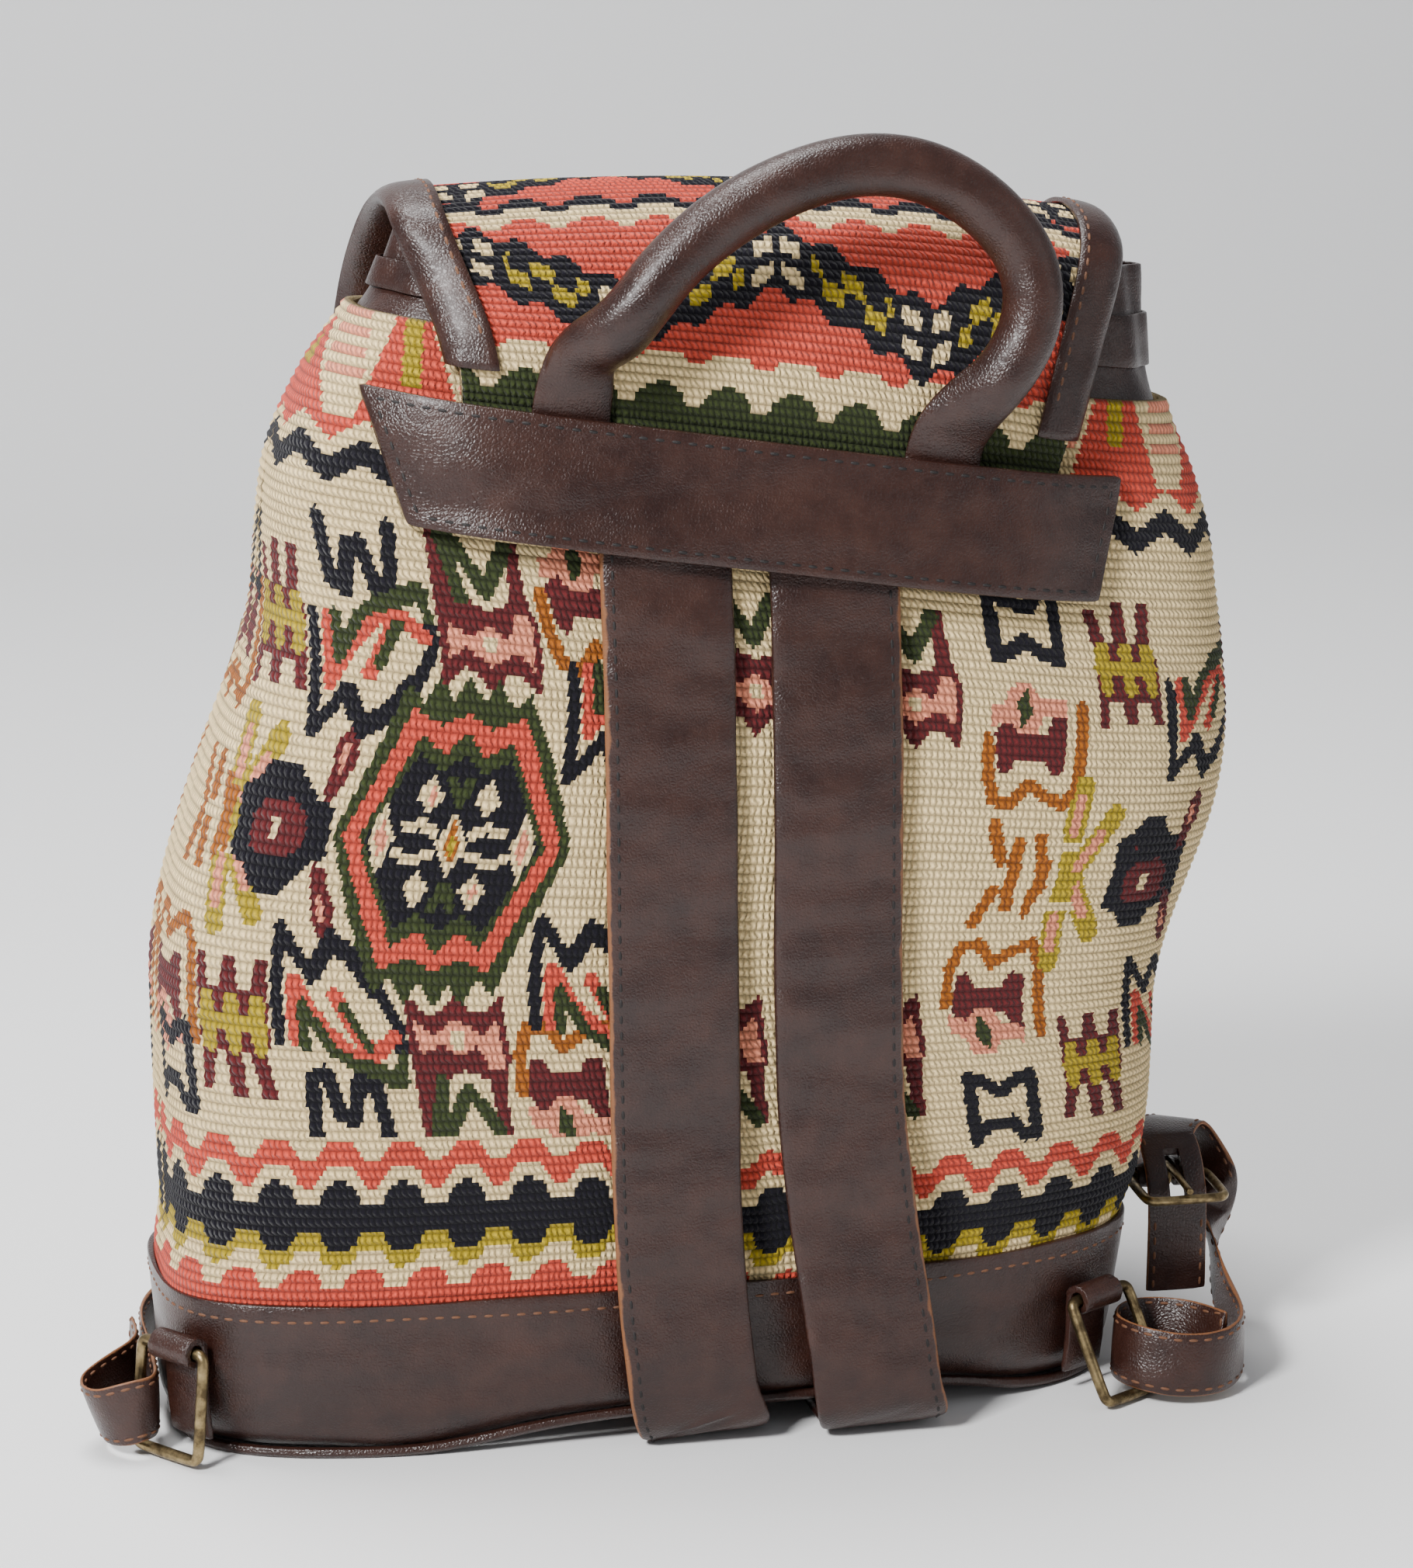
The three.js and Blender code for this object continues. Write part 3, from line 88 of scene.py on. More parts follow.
# Upright shape of the body in millimetres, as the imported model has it
BODY_HALF_WIDTH = 165
BODY_HALF_DEPTH = 65
KILIM_TOP = 345
BASE_HEIGHT = 53
SEAM_LAP = 8
COLLAR_RISE = 33
LEATHER_WALL = 2
KILIM_WALL = 3.2
PROFILE = np.array([
    [0.0, 0.965, 0.9, 3.3], [0.15, 0.985, 0.93, 3.4], [0.35, 1.0, 1.0, 3.3],
    [0.58, 1.005, 1.02, 3.1], [0.72, 0.97, 0.97, 3.0], [0.8, 0.955, 0.92, 2.9],
    [0.875, 0.93, 0.86, 2.8], [0.94, 0.88, 0.78, 2.7], [1.0, 0.815, 0.7, 2.6],
    [1.1, 0.775, 0.46, 2.5],
])
BASE_LEFT = -169.14

# Yoke, flap and pocket
YOKE_CENTRE = -12.5
YOKE_LENGTH = 243
YOKE_HEIGHT = 39
YOKE_TOP = 323
YOKE_SLANTS = (15, 7)
FLAP_THICKNESS = 2.6
FLAP_HALVES = (95, 115)
FLAP_CROWN = 8
FLAP_CENTRE = YOKE_CENTRE + 4
FLAP_WRAP = 0.34
FLAP_COLUMNS = 181
FLAP_BED = FLAP_THICKNESS / 2 + 0.35
BINDING_INSIDE = 12
POCKET_HALF_WIDTH = 146
POCKET_LOW = 108
POCKET_HIGH = 226
POCKET_FACE = 105
POCKET_CORNER = 24
POCKET_BULGE = 5
POCKET_FLAP_DROP = 48

# Lights of the stage: place and size in metres, power in watts
LIGHTS = (
    ("key", (-1.4, -1.3, 1.7), 0.5, 104),
    ("fill", (1.9, -1.3, 0.9), 1.2, 6),
    ("top", (-0.3, 0.4, 2.2), 0.9, 52),
)

# Leather pieces: levels of subdivision, and the soft swelling in metres
LEATHER_PIECES = (
    ("base_shell", 3, 0.0006),
    ("base_piping", 2, 0.0),
    ("yoke_strip", 3, 0.0002),
    ("handle", 2, 0.0001),
    ("collar", 2, 0.0003),
    ("collar_channel", 2, 0.0),
    ("flap_binding", 2, 0.0),
    ("pocket_flap_binding", 2, 0.0),
    ("pocket_gusset", 3, 0.0),
    ("ring_tab_left", 2, 0.0),
    ("ring_tab_right", 2, 0.0),
)

# Dyes of the wool, by number
CREAM, CORAL, NAVY, OLIVE, GREEN, OCHRE, MAROON, PINK = range(8)
DYES = ("cream", "coral", "navy", "olive", "green", "ochre", "maroon", "pink")


def ramp(value, start, end):
    """Smooth step from 0 at the start to 1 at the end."""
    t = np.clip((value - start) / (end - start), 0, 1)
    return t * t * (3 - 2 * t)


def profile_at(z, column):
    """Smooth value of one column of the profile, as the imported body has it."""
    t = np.asarray(z, float) / KILIM_TOP
    keys = PROFILE[:, 0]
    values = PROFILE[:, column]
    k = np.clip(np.searchsorted(keys, t, side="left") - 1, 0, len(keys) - 2)
    low = np.maximum(k - 1, 0)
    high = np.minimum(k + 2, len(keys) - 1)
    slope_k = (values[k + 1] - values[low]) / (keys[k + 1] - keys[low])
    slope_next = (values[high] - values[k]) / (keys[high] - keys[k])
    h = keys[k + 1] - keys[k]
    s = np.clip((t - keys[k]) / h, 0, 1)
    level = (2 * s**3 - 3 * s**2 + 1) * values[k] + (3 * s**2 - 2 * s**3) * values[k + 1]
    return level + h * ((s**3 - 2 * s**2 + s) * slope_k + (s**3 - s**2) * slope_next)


def roundness(z, x):
    """Power of the rounded outline at a height, on either side."""
    n = profile_at(z, 3)
    return np.where(x > 0, n - 0.7 * (1 - ramp(z, BASE_HEIGHT, 2 * BASE_HEIGHT)), n + 0.2)


def outline(angle, z, out):
    """Points on the body's outline, moved out by a distance."""
    c, s = np.cos(angle), np.sin(angle)
    n = roundness(z, c)
    x = (BODY_HALF_WIDTH * profile_at(z, 1) + out) * np.sign(c) * np.abs(c) ** (2 / n)
    y = (BODY_HALF_DEPTH * profile_at(z, 2) + out) * np.sign(s) * np.abs(s) ** (2 / n)
    return np.stack(np.broadcast_arrays(x, y, z), -1)


def face_depth(x, z):
    """How far the upright body reaches out at a place on its flat face."""
    share = np.minimum(0.999, np.abs(x) / (BODY_HALF_WIDTH * profile_at(z, 1)))
    n = roundness(z, x)
    return BODY_HALF_DEPTH * profile_at(z, 2) * (1 - share**n) ** (1 / n)


def settle(points):
    """Takes points of the upright bag to where the leaning, slumped bag has them."""
    x, y, z = points[..., 0], points[..., 1], points[..., 2]
    sway = 30 * ramp(z, 135, 255) + 0.1 * np.maximum(0, z - 290) - 5 * (1 - ramp(z, 45, 75))
    slump = 0.15 * ramp(z, 40, 300) - 0.1 * ramp(z, 335, 395)
    return np.stack([x + sway, y, z - x * slump], -1)


def to_scene(points):
    """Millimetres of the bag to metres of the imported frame."""
    low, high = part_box("base_shell")
    shift = np.array([low.x / MM - BASE_LEFT, 0.5 * (low.y + high.y) / MM, 0])
    return (points + shift) * MM


def even_angles(start, end, count):
    """Angles between two ends that are evenly spaced along the outline at mid height."""
    fine = np.linspace(start, end, 2001)
    ring = outline(fine, np.full_like(fine, KILIM_TOP / 2), 0)
    steps = np.linalg.norm(np.diff(ring, axis=0), axis=1)
    length = np.concatenate([[0], np.cumsum(steps)])
    return np.interp(np.linspace(0, length[-1], count), length, fine)


# Woven figures: each is a list of strokes (dye, half width, points) and fields (dye, None, points).
# Points are across and up, in millimetres of cloth, on the lower half; the upper half mirrors it.
COMB = [
    (MAROON, None, [(-13, 158), (-10, 158), (-9, 149), (-4, 149), (-3, 157), (1, 157), (2, 149),
                    (7, 149), (8, 157), (12, 157), (12, 134), (10, 130), (12, 117), (7, 117),
                    (5, 130), (2, 130), (2, 117), (-3, 117), (-4, 130), (-7, 130), (-10, 119),
                    (-14, 119), (-12, 132)]),
    (OLIVE, 2.1, [(-9, 145), (-9, 132)]), (OLIVE, 2.1, [(0, 145), (0, 132)]),
    (OLIVE, 2.1, [(8.5, 145), (8.5, 132)]), (OLIVE, 2.3, [(-10, 138.5), (9, 138.5)]),
]
LEAF = [
    (MAROON, None, [(-5, 186), (-1, 184), (4, 174), (4.5, 168), (2, 163), (-2, 168), (-4, 176)]),
    (PINK, None, [(-2, 179), (1, 174), (1.5, 169), (-1, 170)]),
]
WAVE = [
    (NAVY, 1.5, [(-20, 135), (-20, 167), (-9, 154), (-4, 166), (3, 161), (13, 150), (18, 140), (18, 133)]),
    (NAVY, 2.5, [(-9, 155), (-4, 164), (4, 160), (11, 151)]),
    (CORAL, 1.7, [(-15, 135), (-15, 153), (-7, 141), (2, 132), (8, 131)]),
    (CORAL, 1.9, [(-2, 149), (5, 137), (10, 132), (16, 137)]),
    (GREEN, 1.4, [(-12, 134), (-12, 146), (-4, 133), (5, 127), (16, 125), (18, 131)]),
    (GREEN, 1.3, [(1, 146), (8, 134)]),
    (GREEN, 2.6, [(4, 128), (16, 124)]),
]
LETTER = [
    (NAVY, 1.9, [(-12, 106), (-10.5, 124), (-6, 126), (-3, 113), (1, 112), (4, 124), (9, 122), (11, 106)]),
]
FIGURE = [
    (MAROON, None, [(-16, 151), (-9, 144), (-5, 145), (0, 151), (5, 145), (9, 145), (15, 151), (16, 131),
                    (13, 121), (13, 106), (9, 106), (8, 124), (1, 127), (-8, 123), (-9, 104), (-15, 104)]),
    (PINK, None, [(-14, 143), (-8, 138), (0, 143), (8, 138), (13, 143), (14, 128), (9, 127), (6, 135),
                  (0, 131), (-5, 135), (-12, 132)]),
    (CREAM, None, [(-2, 139), (2, 139), (2, 134), (-2, 134)]),
    (GREEN, 1.8, [(-11, 104), (-7, 124)]),
    (GREEN, 1.9, [(-8, 106), (1, 121), (9, 108)]),
]
ARCH = [
    (OCHRE, 1.6, [(-16, 120), (-15, 132), (-12, 140), (-6, 141), (-1, 134), (5, 138), (12, 141), (16, 134),
                  (17, 108)]),
    (MAROON, None, [(-14, 118), (-12, 130), (-9, 131), (-6, 126), (3, 126), (6, 131), (11, 130), (11, 110),
                    (7, 110), (4, 117), (-5, 117), (-10, 112)]),
    (PINK, None, [(-15, 116), (-9, 114), (-6, 118), (0, 118), (3, 112), (11, 111), (11, 105), (3, 106),
                  (-1, 101), (-8, 102), (-10, 108), (-15, 109)]),
    (GREEN, None, [(-5, 116), (-1, 111), (-2, 103), (-6, 107)]),
]
CROSS = [
    (NAVY, None, [(-5, 211), (4, 211), (6, 206), (13, 203), (18, 201), (18, 187), (13, 185), (9, 181),
                  (5, 176), (-4, 176), (-6, 183), (-13, 190), (-14, 203), (-8, 206)]),
    (MAROON, None, [(-7, 200), (-4, 202), (5, 202), (10, 199), (10, 190), (5, 186), (-4, 187), (-8, 192)]),
    (CREAM, None, [(-1.5, 198), (1.5, 197), (2, 192), (-1, 192)]),
]
CHEVRON = [
    (OLIVE, 3.2, [(0, 222), (-1, 207), (0, 194), (5, 184), (13, 170)]),
    (PINK, 1.4, [(-0.5, 217), (-1, 206)]), (PINK, 1.4, [(3, 188), (9, 177)]),
    (CREAM, None, [(-5, 203), (5, 203), (5, 200), (-5, 200)]),
]
SPRIGS = [
    (OCHRE, 1.7, [(-8, 208), (-3, 196)]), (OCHRE, 1.8, [(2, 190), (2, 180)]),
    (OCHRE, 1.5, [(9, 204), (13, 187)]),
]
MEDALLION = [
    (GREEN, None, [(-37, 194), (-30, 212), (-19, 238), (-14, 233), (-9, 241), (-5, 234), (0, 242), (4, 234),
                   (9, 241), (14, 233), (19, 238), (30, 212), (37, 194), (30, 176), (19, 150), (14, 155),
                   (9, 147), (5, 154), (0, 146), (-5, 154), (-9, 147), (-14, 155), (-19, 150), (-30, 176)]),
    (CORAL, None, [(-34, 194), (-17, 231), (-8, 227), (0, 231), (8, 227), (17, 231), (34, 194), (17, 157),
                   (8, 161), (0, 157), (-8, 161), (-17, 157)]),
    (GREEN, None, [(-29, 194), (-14, 224), (-6, 219), (0, 226), (6, 219), (14, 224), (29, 194), (14, 164),
                   (6, 169), (0, 162), (-6, 169), (-14, 164)]),
    (NAVY, None, [(-27, 194), (-14, 219), (-7, 214), (0, 219), (7, 214), (14, 219), (27, 194), (14, 169),
                  (7, 174), (0, 169), (-7, 174), (-14, 169)]),
    (CREAM, 1.1, [(-17, 198), (-11, 199), (-6, 197)]), (CREAM, 1.1, [(17, 198), (11, 199), (6, 197)]),
    (CREAM, 1.1, [(-15, 190), (-10, 189), (-6, 191)]), (CREAM, 1.1, [(15, 190), (10, 189), (6, 191)]),
    (CREAM, None, [(-5, 194), (0, 204), (5, 194), (0, 184)]),
    (GREEN, 1.3, [(-3, 212), (0, 206), (3, 212)]), (GREEN, 1.3, [(-3, 176), (0, 182), (3, 176)]),
    (CREAM, None, [(-26, 194), (-22, 205), (-18, 194), (-22, 183)]),
    (CREAM, None, [(26, 194), (22, 205), (18, 194), (22, 183)]),
    (PINK, None, [(-24, 194), (-22, 200), (-20, 194), (-22, 188)]),
    (PINK, None, [(24, 194), (22, 200), (20, 194), (22, 188)]),
    (CREAM, None, [(-13, 207), (-9, 213), (-4.5, 207), (-9, 202)]),
    (CREAM, None, [(4.5, 207), (9, 213), (13, 207), (9, 202)]),
    (CREAM, None, [(-13, 181), (-9, 186), (-4.5, 181), (-9, 175)]),
    (CREAM, None, [(4.5, 181), (9, 186), (13, 181), (9, 175)]),
    (PINK, None, [(7.5, 207), (9, 210), (11, 207), (9, 205)]),
    (PINK, None, [(-9.5, 181), (-8, 183.5), (-6.5, 181), (-8, 178)]),
    (OCHRE, None, [(-2.5, 194), (0, 201), (2.5, 194), (0, 187)]),
    (OLIVE, None, [(-1.2, 194), (0, 198), (1.2, 194), (0, 190)]),
]
HOOKS = [
    (NAVY, 1.9, [(-11, 98), (-11, 121)]), (NAVY, 1.9, [(11, 98), (11, 121)]),
    (NAVY, 1.9, [(-11, 121), (-6, 119), (0, 115), (5, 119), (11, 121)]),
    (NAVY, 1.9, [(-11, 99), (-6, 103), (3, 104), (7, 98), (10, 99)]),
]

# Which figure stands where across the back, and how far it is moved up
LAYOUT = [
    (COMB, -146, 0), (LEAF, -119, 0), (WAVE, -111, 0), (LETTER, -112, 0), (FIGURE, -75, 0),
    (ARCH, -41, 0), (ARCH, -178, 24), (HOOKS, -176, 14), (CHEVRON, -154, 0), (CROSS, -138, 0),
    (MEDALLION, -82, 0), (SPRIGS, -168, 0), (WAVE, -30, 6), (FIGURE, 60, 0), (ARCH, 100, 26),
    (HOOKS, 100, -2), (COMB, 136, -18), (SPRIGS, 98, 0), (CHEVRON, 119, 0), (CROSS, 149, 0),
    (WAVE, 172, -10), (FIGURE, 8, 0), (LEAF, 166, -2), (FIGURE, 204, 0), (ARCH, -212, 20),
]
MIRROR_HEIGHT = 194
STROKE_SWELL = 0.45
SHEAR = 0.155
SHEAR_HEIGHT = 125


def inside_field(x, y, points):
    """Whether places lie inside a closed outline."""
    inside = np.zeros(x.shape, bool)
    ends = points[1:] + points[:1]
    for (ax, ay), (bx, by) in zip(points, ends):
        if ay == by:
            continue
        crosses = (ay > y) != (by > y)
        inside ^= crosses & (x < (bx - ax) * (y - ay) / (by - ay) + ax)
    return inside


def near_stroke(x, y, points, half):
    """Whether places lie within half a width of a line of points."""
    near = np.zeros(x.shape, bool)
    for (ax, ay), (bx, by) in zip(points, points[1:]):
        dx, dy = bx - ax, by - ay
        t = np.clip(((x - ax) * dx + (y - ay) * dy) / (dx * dx + dy * dy), 0, 1)
        near |= np.hypot(x - ax - t * dx, y - ay - t * dy) < half
    return near


def paint_figure(dyes, x, y, figure):
    """Dyes the places that one woven figure covers."""
    for dye, half, points in figure:
        half = half and half + STROKE_SWELL
        xs = [p[0] for p in points]
        ys = [p[1] for p in points]
        margin = half or 0
        box = (x > min(xs) - margin) & (x < max(xs) + margin)
        box &= (y > min(ys) - margin) & (y < max(ys) + margin)
        rows = np.nonzero(box)
        if not len(rows[0]):
            continue
        px, py = x[rows], y[rows]
        hit = inside_field(px, py, points) if half is None else near_stroke(px, py, points, half)
        dyes[tuple(index[hit] for index in rows)] = dye


def wave_distance(u, period, start):
    """Distance to the nearest crest of a wave that repeats across the cloth."""
    return np.abs((u - start + period / 2) % period - period / 2)


def dome(distance, half):
    """Height of a round scallop at a distance from its middle."""
    return np.sqrt(np.clip(1 - (distance / half) ** 2, 0, 1))


def body_dyes(u, z, x):
    """Dye of the body's cloth at a place across and up, with the bands at its foot and top."""
    dyes = np.full(u.shape, CREAM)
    w = u + SHEAR * (z - SHEAR_HEIGHT)
    for figure, across, up in LAYOUT:
        middle = MIRROR_HEIGHT - 3 * (across > 0)
        for flip in (False, True):
            height = 2 * middle - z if flip else z
            paint_figure(dyes, w - across, height - up * (figure not in (CROSS, MEDALLION)), figure)
    fall = -14 * ramp(x, -60, 90)
    zb = z - fall
    crest = wave_distance(u, 20, -154)
    between = wave_distance(u, 20, -144)
    dyes[zb < 106] = CREAM
    rise = ramp(1 - crest / 10, 0.1, 0.75)
    dyes[(zb > 90.5 + 7 * rise) & (zb < 99 + 6 * rise)] = CORAL
    dyes[(zb < 79) & (zb > 70.5 - 5.5 * dome(crest, 6))] = OLIVE
    dyes[(zb < 85.5 + 7 * dome(crest, 6.2)) & (zb > 76.5 - 6.5 * dome(crest, 6.2))] = NAVY
    dyes[zb < 59 + 5.5 * dome(between, 6.5)] = CORAL
    zt = z - 7 * ramp(x, -60, 90)
    swing = wave_distance(u, 24, -133) / 12
    level = 293 + 7 * (1 - swing)
    dyes[zt > level - 4] = CREAM
    dyes[(zt > level - 1) & (zt < level + 6.5)] = NAVY
    dyes[zt > level + 12] = CORAL
    steps = wave_distance(u, 46, -143)
    height = zt - 312
    dyes[(height > 0) & (steps < 6 + 1.1 * np.floor(height / 3))] = CREAM
    dyes[(height > 9) & (steps < 8) & (np.floor(z / 3) % 2 == 0)] = PINK
    dyes[(height > 12) & (steps > 20)] = OLIVE
    return dyes


def flap_dyes(across, along):
    """Dye of the flap's cloth: scallops by the yoke, then a coral field with a navy zigzag."""
    dyes = np.full(across.shape, CORAL)
    low = along - 14
    crest = wave_distance(across, 21, 6)
    dyes[low < 17 + 4 * dome(crest, 8)] = CREAM
    dyes[low < 4 + 7 * dome(crest, 8)] = GREEN
    period, thick = 96, 11.5
    turn = wave_distance(across, period, 0)
    for k in range(5):
        slope = 0.5 * (turn - period / 4) * (1 if k % 2 == 0 else -1)
        band = low - 44 - 60 * k + slope
        edge = thick + 2.0 * np.sin(across * 0.45)
        dyes[np.abs(band) < edge] = NAVY
        near_turn = np.minimum(turn, period / 2 - turn)
        stair = np.abs(band + 3.0 * np.sign(np.sin(across * 0.45))) < 3.0
        dyes[stair & (near_turn > 11)] = OLIVE
        square_u = np.abs(near_turn - 4.8) < 3.0
        dyes[square_u & (np.abs(np.abs(band) - 4.8) < 2.8)] = CREAM
        between = low - 74 - 60 * k - 4 * dome(wave_distance(across, 21, 6), 8)
        dyes[np.abs(between + 3.5) < 3.5] = CREAM
        dyes[np.abs(between - 2.6) < 2.6] = NAVY
    return dyes


class Wiring:
    """Short way to place and join shader nodes in one tree."""

    def __init__(self, tree):
        self.tree = tree

    def add(self, kind, inputs=None, **values):
        """New node, with its settings and what feeds its inputs."""
        node = self.tree.nodes.new(kind)
        for key, value in values.items():
            setattr(node, key, value)
        for key, value in (inputs or {}).items():
            self.feed(node.inputs[key], value)
        return node

    def feed(self, socket, value):
        """Links a socket to another, or sets its value."""
        if isinstance(value, bpy.types.NodeSocket):
            self.tree.links.new(value, socket)
        else:
            socket.default_value = value

    def math(self, operation, *values):
        """Result of one sum on values or sockets."""
        return self.add("ShaderNodeMath", dict(enumerate(values)), operation=operation).outputs[0]

    def times(self, first, second):
        return self.math("MULTIPLY", first, second)

    def plus(self, first, second):
        return self.math("ADD", first, second)

    def minus(self, first, second):
        return self.math("SUBTRACT", first, second)

    def clamp(self, value, high):
        """Value kept between nothing and a limit."""
        return self.math("MINIMUM", self.math("MAXIMUM", value, 0.0), high)

    def stretch(self, place, scale):
        """Place multiplied axis by axis, to draw a pattern out or press it together."""
        return self.add("ShaderNodeVectorMath", {0: place, 1: scale}, operation="MULTIPLY").outputs[0]

    def darken(self, colour, value):
        """Colour multiplied by one value for all its channels."""
        tone = self.add("ShaderNodeCombineColor", {0: value, 1: value, 2: value}).outputs[0]
        return self.mix(1.0, colour, tone, "MULTIPLY")

    def relief(self, height, strength, distance):
        """Bump of a surface, to feed into its normal."""
        inputs = {"Height": height, "Strength": strength, "Distance": distance}
        return self.add("ShaderNodeBump", inputs).outputs[0]

    def mix(self, factor, first, second, blend="MIX"):
        """Two colours mixed by a factor."""
        node = self.add("ShaderNodeMix", data_type="RGBA", blend_type=blend)
        self.feed(node.inputs["Factor"], factor)
        self.feed(node.inputs[6], first)
        self.feed(node.inputs[7], second)
        return node.outputs[2]

    def noise(self, vector, scale, detail=4.0, roughness=0.55):
        """Smooth random value at a place."""
        inputs = {"Vector": vector, "Scale": scale, "Detail": detail, "Roughness": roughness}
        return self.add("ShaderNodeTexNoise", inputs).outputs["Fac"]


def linear(colour):
    """Colour picker values to the linear values that a shader takes, with full alpha."""
    return (*[c / 12.92 if c <= 0.04045 else ((c + 0.055) / 1.055) ** 2.4 for c in colour], 1)


def new_group(name, inputs, outputs):
    """New node group with its wiring, its inputs and its outputs."""
    tree = bpy.data.node_groups.new(name, "ShaderNodeTree")
    for label, kind in inputs:
        tree.interface.new_socket(label, in_out="INPUT", socket_type=kind)
    for label, kind in outputs:
        tree.interface.new_socket(label, in_out="OUTPUT", socket_type=kind)
    wiring = Wiring(tree)
    return wiring, wiring.add("NodeGroupInput").outputs, wiring.add("NodeGroupOutput").inputs


def weave_group():
    """Twisted yarn in rows: raises each strand, and darkens the dye with painted shade in the grooves between
    strands and between rows, with random tone of fibres and patches besides.
    """
    if "Wool Weave" in bpy.data.node_groups:
        return bpy.data.node_groups["Wool Weave"]
    kinds = [("Cloth", "NodeSocketVector"), ("Dye", "NodeSocketColor"), ("Row Pitch", "NodeSocketFloat"),
             ("Strand Width", "NodeSocketFloat")]
    outputs = [("Colour", "NodeSocketColor"), ("Height", "NodeSocketFloat")]
    w, given, result = new_group("Wool Weave", kinds, outputs)
    parts = w.add("ShaderNodeSeparateXYZ", {0: given["Cloth"]}).outputs
    row = w.math("DIVIDE", parts["Y"], given["Row Pitch"])
    strand = w.math("DIVIDE", parts["X"], given["Strand Width"])
    fraction = w.math("FRACT", row)
    swell = w.math("SINE", w.times(fraction, math.pi))
    row_number = w.math("FLOOR", row)
    shift = w.times(row_number, 0.37)
    wobble = w.times(w.noise(given["Cloth"], 260.0, 2.0), 1.1)
    slant = w.plus(w.plus(strand, shift), w.plus(w.times(fraction, 0.6), wobble))
    beads = w.math("ABSOLUTE", w.math("SINE", w.times(slant, math.pi)))
    fibre = w.noise(w.stretch(given["Cloth"], (1.0, 0.35, 1.0)), 2600.0, 3.0)
    height = w.plus(w.times(w.times(beads, swell), 0.8), w.times(fibre, 0.35))
    w.feed(result["Height"], height)
    patch = w.noise(w.stretch(given["Cloth"], (0.25, 1.0, 1.0)), 190.0, 2.0)
    # Painted shade: the dye is darkened between the strands (beads) and between the rows (swell); fibre and
    # patch add random tone.
    groove_shade_and_tone = w.plus(w.times(beads, 0.34), w.times(swell, 0.60))
    groove_shade_and_tone = w.plus(groove_shade_and_tone, w.times(fibre, 0.30))
    groove_shade_and_tone = w.plus(groove_shade_and_tone, w.times(patch, 0.36))
    w.feed(result["Colour"], w.darken(given["Dye"], w.minus(groove_shade_and_tone, 0.11)))
    return w.tree


def leather_group():
    """Grain, tiny creases and rubbed patches of dark leather, with a lighter raw edge."""
    if "Worn Leather" in bpy.data.node_groups:
        return bpy.data.node_groups["Worn Leather"]
    kinds = [("Place", "NodeSocketVector"), ("Dye", "NodeSocketColor"), ("Rubbed", "NodeSocketColor"),
             ("Raw Edge", "NodeSocketColor"), ("Edge", "NodeSocketFloat"), ("Wear", "NodeSocketFloat")]
    outputs = [("Colour", "NodeSocketColor"), ("Roughness", "NodeSocketFloat"), ("Height", "NodeSocketFloat")]
    w, given, result = new_group("Worn Leather", kinds, outputs)
    cells = w.add("ShaderNodeTexVoronoi", {"Vector": given["Place"], "Scale": 850.0, "Randomness": 1.0},
                  feature="DISTANCE_TO_EDGE").outputs["Distance"]
    grain = w.math("MINIMUM", w.times(cells, 3.0), 1.0)
    fine = w.noise(given["Place"], 1500.0, 3.0)
    broad = w.noise(given["Place"], 22.0, 4.0)
    middle = w.noise(given["Place"], 120.0, 4.0)
    creases = w.noise(w.stretch(given["Place"], (1.0, 1.0, 3.0)), 60.0, 6.0, 0.65)
    height = w.plus(w.times(grain, 0.28), w.times(fine, 0.16))
    height = w.plus(height, w.times(creases, 1.2))
    waves = w.noise(w.stretch(given["Place"], (0.35, 0.35, 1.0)), 24.0, 2.0)
    height = w.plus(height, w.times(waves, 34.0))
    w.feed(result["Height"], height)
    rub = w.times(w.minus(w.times(w.plus(broad, middle), 1.9), 1.45), given["Wear"])
    rubbed = w.clamp(rub, 0.85)
    colour = w.mix(rubbed, given["Dye"], given["Rubbed"])
    colour = w.darken(colour, w.plus(w.times(grain, 0.12), 0.88))
    ragged = w.plus(given["Edge"], w.times(w.minus(middle, 0.5), 0.7))
    bare = w.clamp(w.times(w.minus(ragged, 0.62), 6.0), 1.0)
    w.feed(result["Colour"], w.mix(bare, colour, given["Raw Edge"]))
    rough = w.plus(w.times(broad, 0.16), w.times(middle, 0.12))
    w.feed(result["Roughness"], w.plus(w.plus(rough, 0.20), w.times(bare, 0.3)))
    return w.tree


def new_material(name):
    """New material with its wiring and the inputs of its shader."""
    material = bpy.data.materials.new(name)
    material.use_nodes = True
    wiring = Wiring(material.node_tree)
    return material, wiring, material.node_tree.nodes["Principled BSDF"].inputs


def kilim_material():
    """Wool dyed by the colour of each face, darkened by painted shade in the grooves of the weave, with its
    yarn and rows as relief.
    """
    if "Kilim Wool" in bpy.data.materials:
        return bpy.data.materials["Kilim Wool"]
    sizes = bpy.context.scene.backpack_sizes
    material, w, shader = new_material("Kilim Wool")
    cloth = w.add("ShaderNodeAttribute", attribute_name="cloth").outputs["Vector"]
    dye = w.add("ShaderNodeAttribute", attribute_name="dye").outputs["Color"]
    group = w.add("ShaderNodeGroup", node_tree=weave_group())
    values = {"Cloth": cloth, "Dye": dye, "Row Pitch": sizes.row_pitch, "Strand Width": sizes.strand_width}
    for key, value in values.items():
        w.feed(group.inputs[key], value)
    relief = w.relief(group.outputs["Height"], 1.0, 0.0015)
    w.feed(shader["Base Color"], group.outputs["Colour"])
    w.feed(shader["Normal"], relief)
    shader["Roughness"].default_value = 0.92
    shader["Specular IOR Level"].default_value = 0.2
    shader["Sheen Weight"].default_value = 0.08
    shader["Sheen Roughness"].default_value = 0.5
    return material


